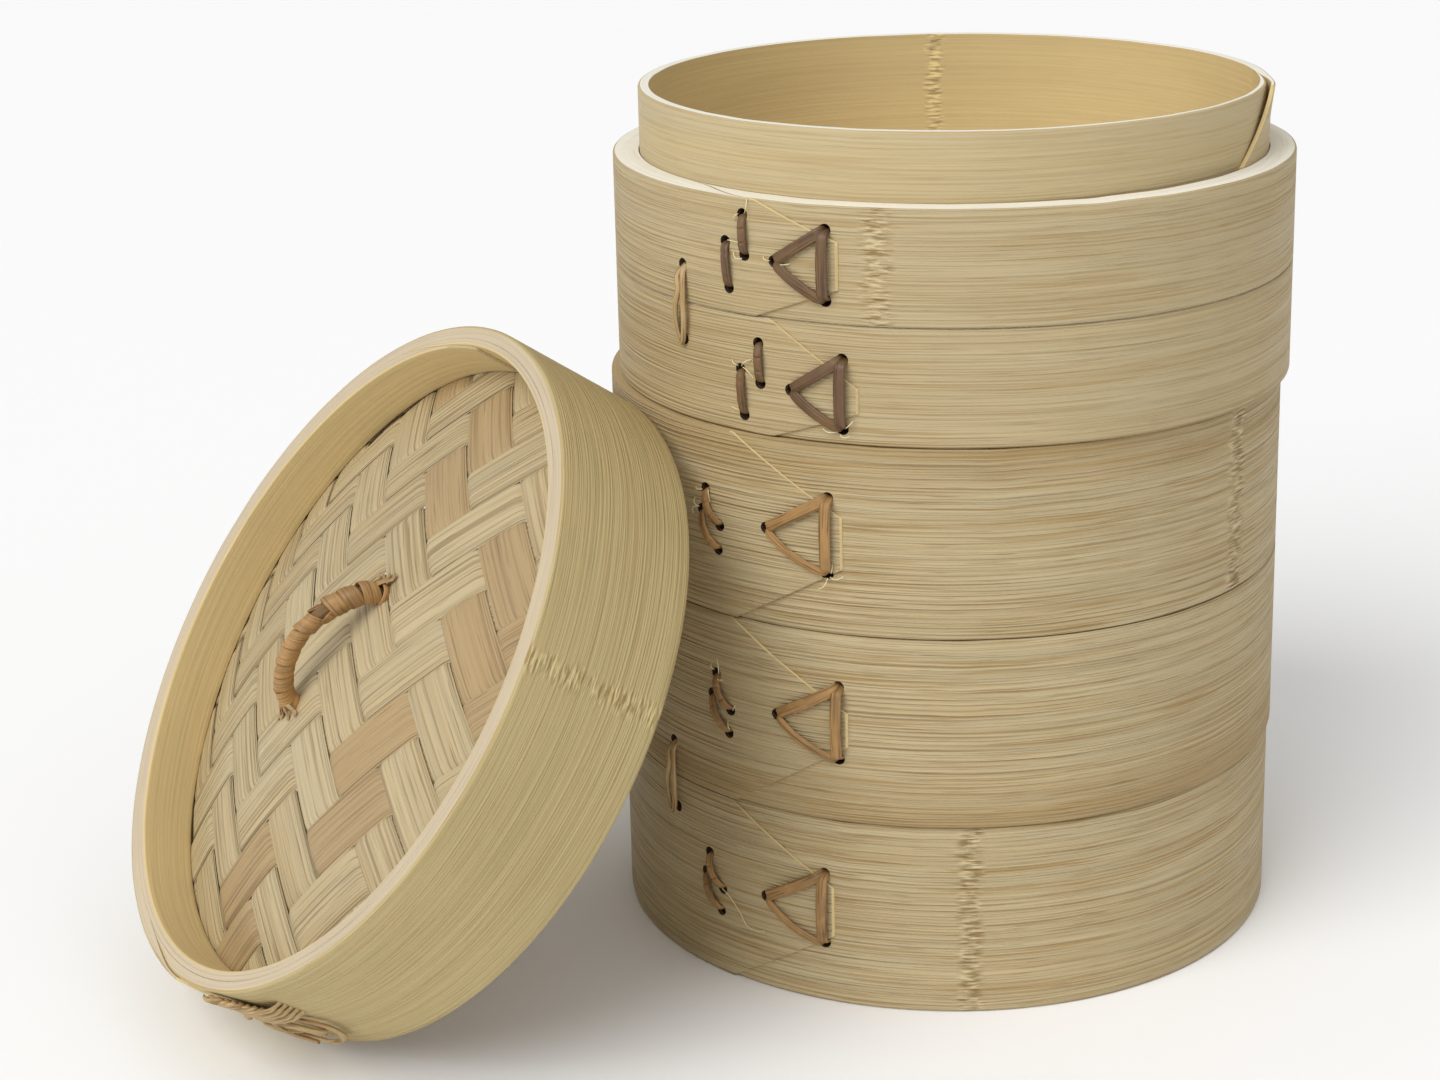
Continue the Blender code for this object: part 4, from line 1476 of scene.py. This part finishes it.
class STEAMER_OT_lid_bands(bpy.types.Operator):
    """Builds the lid's hoop, the rings that clamp the weave in it, and the lacing on its band"""

    bl_idname = "steamer.lid_bands"
    bl_label = "Lid bands"

    def execute(self, context):
        place = PLACES["lid"]
        ring = ring_sizes("lid_hoop", place)
        ring = ring._replace(outer=ring.outer - LID_TRIM)
        middle = (ring.bottom + ring.top) / 2
        lap = Lap(math.radians(-68.0), middle - 6 * MM, middle + 6 * MM, math.radians(15.0), 0.8 * MM, -1)
        band_node = BandNode(math.radians(18.0), 8.0 * MM, 0.18 * MM)
        mesh = bent_band(ring, lap, 90.0, 0.9 * MM, band_node, wobble=0.12 * MM)
        point, upper, lower = corners = lacing_corners("lid_lacing", place)
        holes = [hole_at(ring.outer, spot) for spot in corners]
        materials = ("Bamboo Lid Band", "Lid Edge", INNER_FACE)
        width = context.scene.steamer_sizes.hole_width / 2
        finish_band("lid_hoop", mesh, "lid", materials, holes, width, LID_DRILL)
        for name, angle in (("lid_clamp_ring", 98.0), ("lid_seat_ring", 30.0)):
            inner = ring_sizes(name, place)._replace(outer=ring.inner - 0.05 * MM)
            lap = Lap(math.radians(angle), inner.bottom, inner.top - 1 * MM, math.radians(9.0), 0.8 * MM, 1)
            mesh = bent_band(inner, lap, 95.0 + angle, 0.6 * MM, wobble=0.1 * MM, inside=True)
            finish_band(name, mesh, "lid", (INNER_FACE, "Lid Edge", "Bamboo Collar"))
        runs = list(knot_runs(ring.outer))
        for start, end in ((point, upper), (lower, point)):
            runs.append(band_strand(ring.outer, start, end, arch=0.9 * MM))
        mesh = strand_mesh(runs, "lid", "Pale Rattan", 61.0, width=1.9 * MM, thickness=1.1 * MM)
        new_piece("lid_lacing_strands", mesh, "lid", ["lid_lacing"])
        return {"FINISHED"}


# A row of the weave, with its first strip's offset, its dark strips' middle and its phase in the twill.
WeaveRow = namedtuple("WeaveRow", "direction pitch first dark phase seed")
WEAVE_ROWS = (
    WeaveRow(math.radians(-30.0), 16.2 * MM, -82.9 * MM, 8.5, 3.5, 6),
    WeaveRow(math.radians(55.0), 15.2 * MM, -85.1 * MM, 2.5, 2.5, 4),
)


def lid_dome():
    """The radius, foot and rise of the middle of the lid's woven sheet, in the lid's frame."""
    clamp = ring_sizes("lid_clamp_ring", PLACES["lid"])
    sheet = ring_sizes("lid_weave", PLACES["lid"])
    return clamp.inner + 2.0 * MM, clamp.bottom - 1.4 * MM, sheet.top - clamp.bottom


class STEAMER_OT_lid_weave(bpy.types.Operator):
    """Builds the lid's domed twill of split bamboo, as two rows of strips"""

    bl_idname = "steamer.lid_weave"
    bl_label = "Lid weave"

    def execute(self, context):
        sizes = context.scene.steamer_sizes
        radius, foot, rise = lid_dome()
        meshes = []
        for own, other in (WEAVE_ROWS, WEAVE_ROWS[::-1]):
            values = {
                "Count": 12,
                "First Offset": own.first,
                "Pitch": own.pitch,
                "Width": sizes.weave_width,
                "Thickness": sizes.weave_thickness,
                "Direction": own.direction,
                "Circle Radius": radius,
                "Steps Along": 140,
                "Other Direction": other.direction,
                "Other Offset": other.first,
                "Other Pitch": other.pitch,
                "Dark Strip": own.dark,
                "Float Phase": own.phase,
                "Bunching": 0.12,
                "Lift": 0.5 * MM,
                "Dome Foot": foot,
                "Dome Rise": rise,
                "Ridges": 22.0,
                "Unevenness": 0.25 * MM,
                "Seed": own.seed,
                "Material": bpy.data.materials["Bamboo Weave"],
            }
            meshes.append(grown(linked("strips", bpy.data.meshes.new("strips")), "Strip Row", values))
        mesh = joined(meshes)
        mesh.transform(PLACES["lid"])
        shade_round(mesh, 55.0)
        new_piece("lid_weave_strips", mesh, "lid", ["lid_weave"])
        return {"FINISHED"}


# The grip's run across the lid as an angle, and its radius.
GRIP_BEARING = 1.16
GRIP_RADIUS = 3.2 * MM
# The two lengths of wrapping: start and end along the grip, how much they swell, and their strand.
WRAPS = (
    (0.0, 0.615, 0.0, 71.0, 5.6 * MM, 0.9 * MM),
    (0.645, 1.0, 0.55 * MM, 73.0, 5.0 * MM, 1.1 * MM),
)


def grip_core(points):
    """The grip's curve between its feet, its feet, and the angle that it runs at."""
    far = max(points, key=lambda point: point.x * math.cos(GRIP_BEARING) + point.y * math.sin(GRIP_BEARING))
    turn = angle_of(far)
    half = math.hypot(far.x, far.y) - GRIP_RADIUS
    low = min(point.z for point in points)
    rise = max(point.z for point in points) - GRIP_RADIUS - low
    feet = [on_band(half, turn + math.pi, low), on_band(half, turn, low)]
    core = [feet[0]]
    for step in range(25):
        share = step / 24
        bow = math.sin(math.pi * share) ** 0.6
        core.append(feet[0].lerp(feet[1], share) + Vector((0.0, 0.0, lerp(rise - 11 * MM, rise, bow))))
    core.append(feet[1])
    return smooth_path(core, 0.6 * MM), feet, turn


def wrapping(core, outwards, side, turns, first, last, girth):
    """A strand wound round part of the grip, a little lumpy."""
    wrap = []
    facings = []
    count = int(len(core) * 3 * (last - first))
    for i in range(count):
        share = lerp(first, last, i / (count - 1))
        place_on = share * (len(core) - 1)
        k = min(int(place_on), len(core) - 2)
        middle = core[k].lerp(core[k + 1], place_on - k)
        out = outwards[k].lerp(outwards[k + 1], place_on - k).normalized()
        phase = TURN * turns * share
        direction = out * math.cos(phase) + side * math.sin(phase)
        lump = 0.3 * MM * noise.noise(Vector((share * 9, phase, 2.0)))
        wrap.append(middle + direction * (GRIP_RADIUS - 0.95 * MM + girth + lump))
        facings.append(direction)
    return wrap, facings


def frayed_ends(feet, turn):
    """The grip's split ends, spread over the weave at its feet."""
    rng = random.Random(8)
    radius, dome_foot, dome_rise = lid_dome()
    for foot, away, count in ((feet[0], turn + math.pi, 9), (feet[1], turn, 5)):
        for _ in range(count):
            bearing = away + rng.uniform(-1.5, 1.5)
            reach = rng.uniform(3.5, 7.5) * MM
            heading = Vector((math.cos(bearing), math.sin(bearing), 0.0))
            tips = []
            for step, rise in ((0.0, 4.5), (0.35, 3.4), (0.7, 1.6), (1.0, rng.uniform(0.8, 2.2))):
                spot = foot + heading * 1.5 * MM + heading * (reach * step)
                share = (spot.x * spot.x + spot.y * spot.y) / radius**2
                spot.z = dome_foot + dome_rise * (1 - share) + rise * MM
                tips.append(spot)
            curve = smooth_path(tips)
            yield curve, outward_along(curve, heading.cross(Vector((0.0, 0.0, 1.0))))


class STEAMER_OT_lid_grip(bpy.types.Operator):
    """Builds the lid's arched grip, wrapped in rattan, and the bar that it is tied to"""

    bl_idname = "steamer.lid_grip"
    bl_label = "Lid grip"

    def execute(self, context):
        turns = context.scene.steamer_sizes.wrap_turns
        core, feet, turn = grip_core(local_points("lid_handle", PLACES["lid"]))
        side = Vector((-math.sin(turn), math.cos(turn), 0.0))
        outwards = outward_along(core, side)
        parts = []
        for first, last, girth, seed, width, thickness in WRAPS:
            runs = [wrapping(core, outwards, side, turns, first, last, girth)]
            shape = {"width": width, "thickness": thickness, "tilt": 0.3 * MM}
            parts.append(strand_mesh(runs, "lid", "Grip Rattan", seed, **shape))
        shape = {"width": 3.8 * MM, "thickness": 3.8 * MM}
        parts.append(strand_mesh([(core, outwards)], "lid", "Dark Rattan", 72.0, **shape))
        ends = list(frayed_ends(feet, turn))
        shape = {"width": 1.3 * MM, "thickness": 0.5 * MM, "unevenness": 0.05 * MM}
        parts.append(strand_mesh(ends, "lid", "Pale Rattan", 74.0, **shape))
        new_piece("lid_handle_wrap", joined(parts), "lid", ["lid_handle"])
        bar_piece("lid_handle_bar", "slat", "lid", turn)
        return {"FINISHED"}


# A loose curl under the lowest hoop's first stitch: degrees round, millimetres up and off the hoop.
CURL = (
    *((0.0, 0.0, 0.2), (2.0, -1.5, 0.7), (4.2, -5.0, 0.9)),
    *((5.6, -8.6, 0.8), (7.6, -9.3, 0.9), (9.6, -8.0, 1.6)),
)
FIBRE_WIDTH = 0.24 * MM


def loose_fibre(rng, radius, angle, height):
    """A fibre that curls away from a hole."""
    bearing = rng.uniform(0.0, TURN)
    bend = rng.uniform(-1.2, 1.2)
    reach = rng.uniform(1.6, 4.2)
    spots = []
    for step in range(5):
        share = step / 4
        course = bearing + bend * share
        aside = (1.2 + reach * share) * math.cos(course)
        up = (1.2 + reach * share) * math.sin(course)
        rise = (0.25 + 0.9 * math.sin(math.pi * share)) * MM
        spots.append((math.degrees(angle) + math.degrees(aside * MM / radius), height / MM + up, rise))
    return laid_strand(radius, spots)


class STEAMER_OT_loose_fibres(bpy.types.Operator):
    """Builds the loose fibres at the lacings' and stitches' holes"""

    bl_idname = "steamer.loose_fibres"
    bl_label = "Loose fibres"

    def execute(self, context):
        rng = random.Random(21)
        for tier in HOOPS:
            runs = []
            for _, number, place, ring, _ in each_hoop((tier,)):
                corners = list(lacing_corners(f"{tier}_lacing_{number}", place))
                for count in (1, 2):
                    corners += strand_ends(f"{tier}_stitch_{number}_{count}", place)
                for corner in corners:
                    for _ in range(rng.choice((0, 0, 1, 1, 2, 3))):
                        runs.append(loose_fibre(rng, ring.outer, *corner))
            if tier == "base":
                radius = ring_sizes("base_hoop_1", PLACES[tier]).outer
                angle, height = strand_ends("base_stitch_1_1", PLACES[tier])[1]
                spots = [(math.degrees(angle) + x, height / MM + y, rise * MM) for x, y, rise in CURL]
                runs.append(laid_strand(radius, spots))
            shape = {"width": FIBRE_WIDTH, "thickness": FIBRE_WIDTH, "ridges": 0.0, "unevenness": 0.02 * MM}
            mesh = strand_mesh(runs, tier, "Loose Fibre", 81.0, **shape)
            new_piece(f"{tier}_loose_fibres", mesh, tier, [])
        return {"FINISHED"}


class STEAMER_PT_panel(bpy.types.Panel):
    """Lists the pieces of the steamer"""

    bl_label = "Bamboo Steamer"
    bl_idname = "STEAMER_PT_panel"
    bl_space_type = "VIEW_3D"
    bl_region_type = "UI"
    bl_category = "Steamer"

    def draw(self, context):
        layout = self.layout
        for operator in OPERATORS:
            layout.operator(operator.bl_idname)
        for group in (context.scene.steamer_sizes, context.scene.steamer_colours):
            box = layout.box()
            for name in group.__annotations__:
                box.prop(group, name)


OPERATORS = (
    STEAMER_OT_stage,
    STEAMER_OT_hoops,
    STEAMER_OT_inner_rings,
    STEAMER_OT_lacings,
    STEAMER_OT_seam_ties,
    STEAMER_OT_floors,
    STEAMER_OT_lid_bands,
    STEAMER_OT_lid_weave,
    STEAMER_OT_lid_grip,
    STEAMER_OT_loose_fibres,
)
CLASSES = (SteamerSizes, SteamerColours, *OPERATORS, STEAMER_PT_panel)


def register():
    for item in CLASSES:
        bpy.utils.register_class(item)
    bpy.types.Scene.steamer_sizes = PointerProperty(type=SteamerSizes)
    bpy.types.Scene.steamer_colours = PointerProperty(type=SteamerColours)


def unregister():
    del bpy.types.Scene.steamer_colours
    del bpy.types.Scene.steamer_sizes
    for item in reversed(CLASSES):
        bpy.utils.unregister_class(item)


def main():
    register()
    build_fibre_group()
    build_node_group()
    build_stain_group()
    build_strand_tree()
    build_strip_tree()
    build_materials(bpy.context)
    for operator in OPERATORS:
        group, name = operator.bl_idname.split(".")
        getattr(getattr(bpy.ops, group), name)()
    sizes = [list(corner) for box in (CAD_BOX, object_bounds()) for corner in box]


if __name__ == "__main__":
    main()
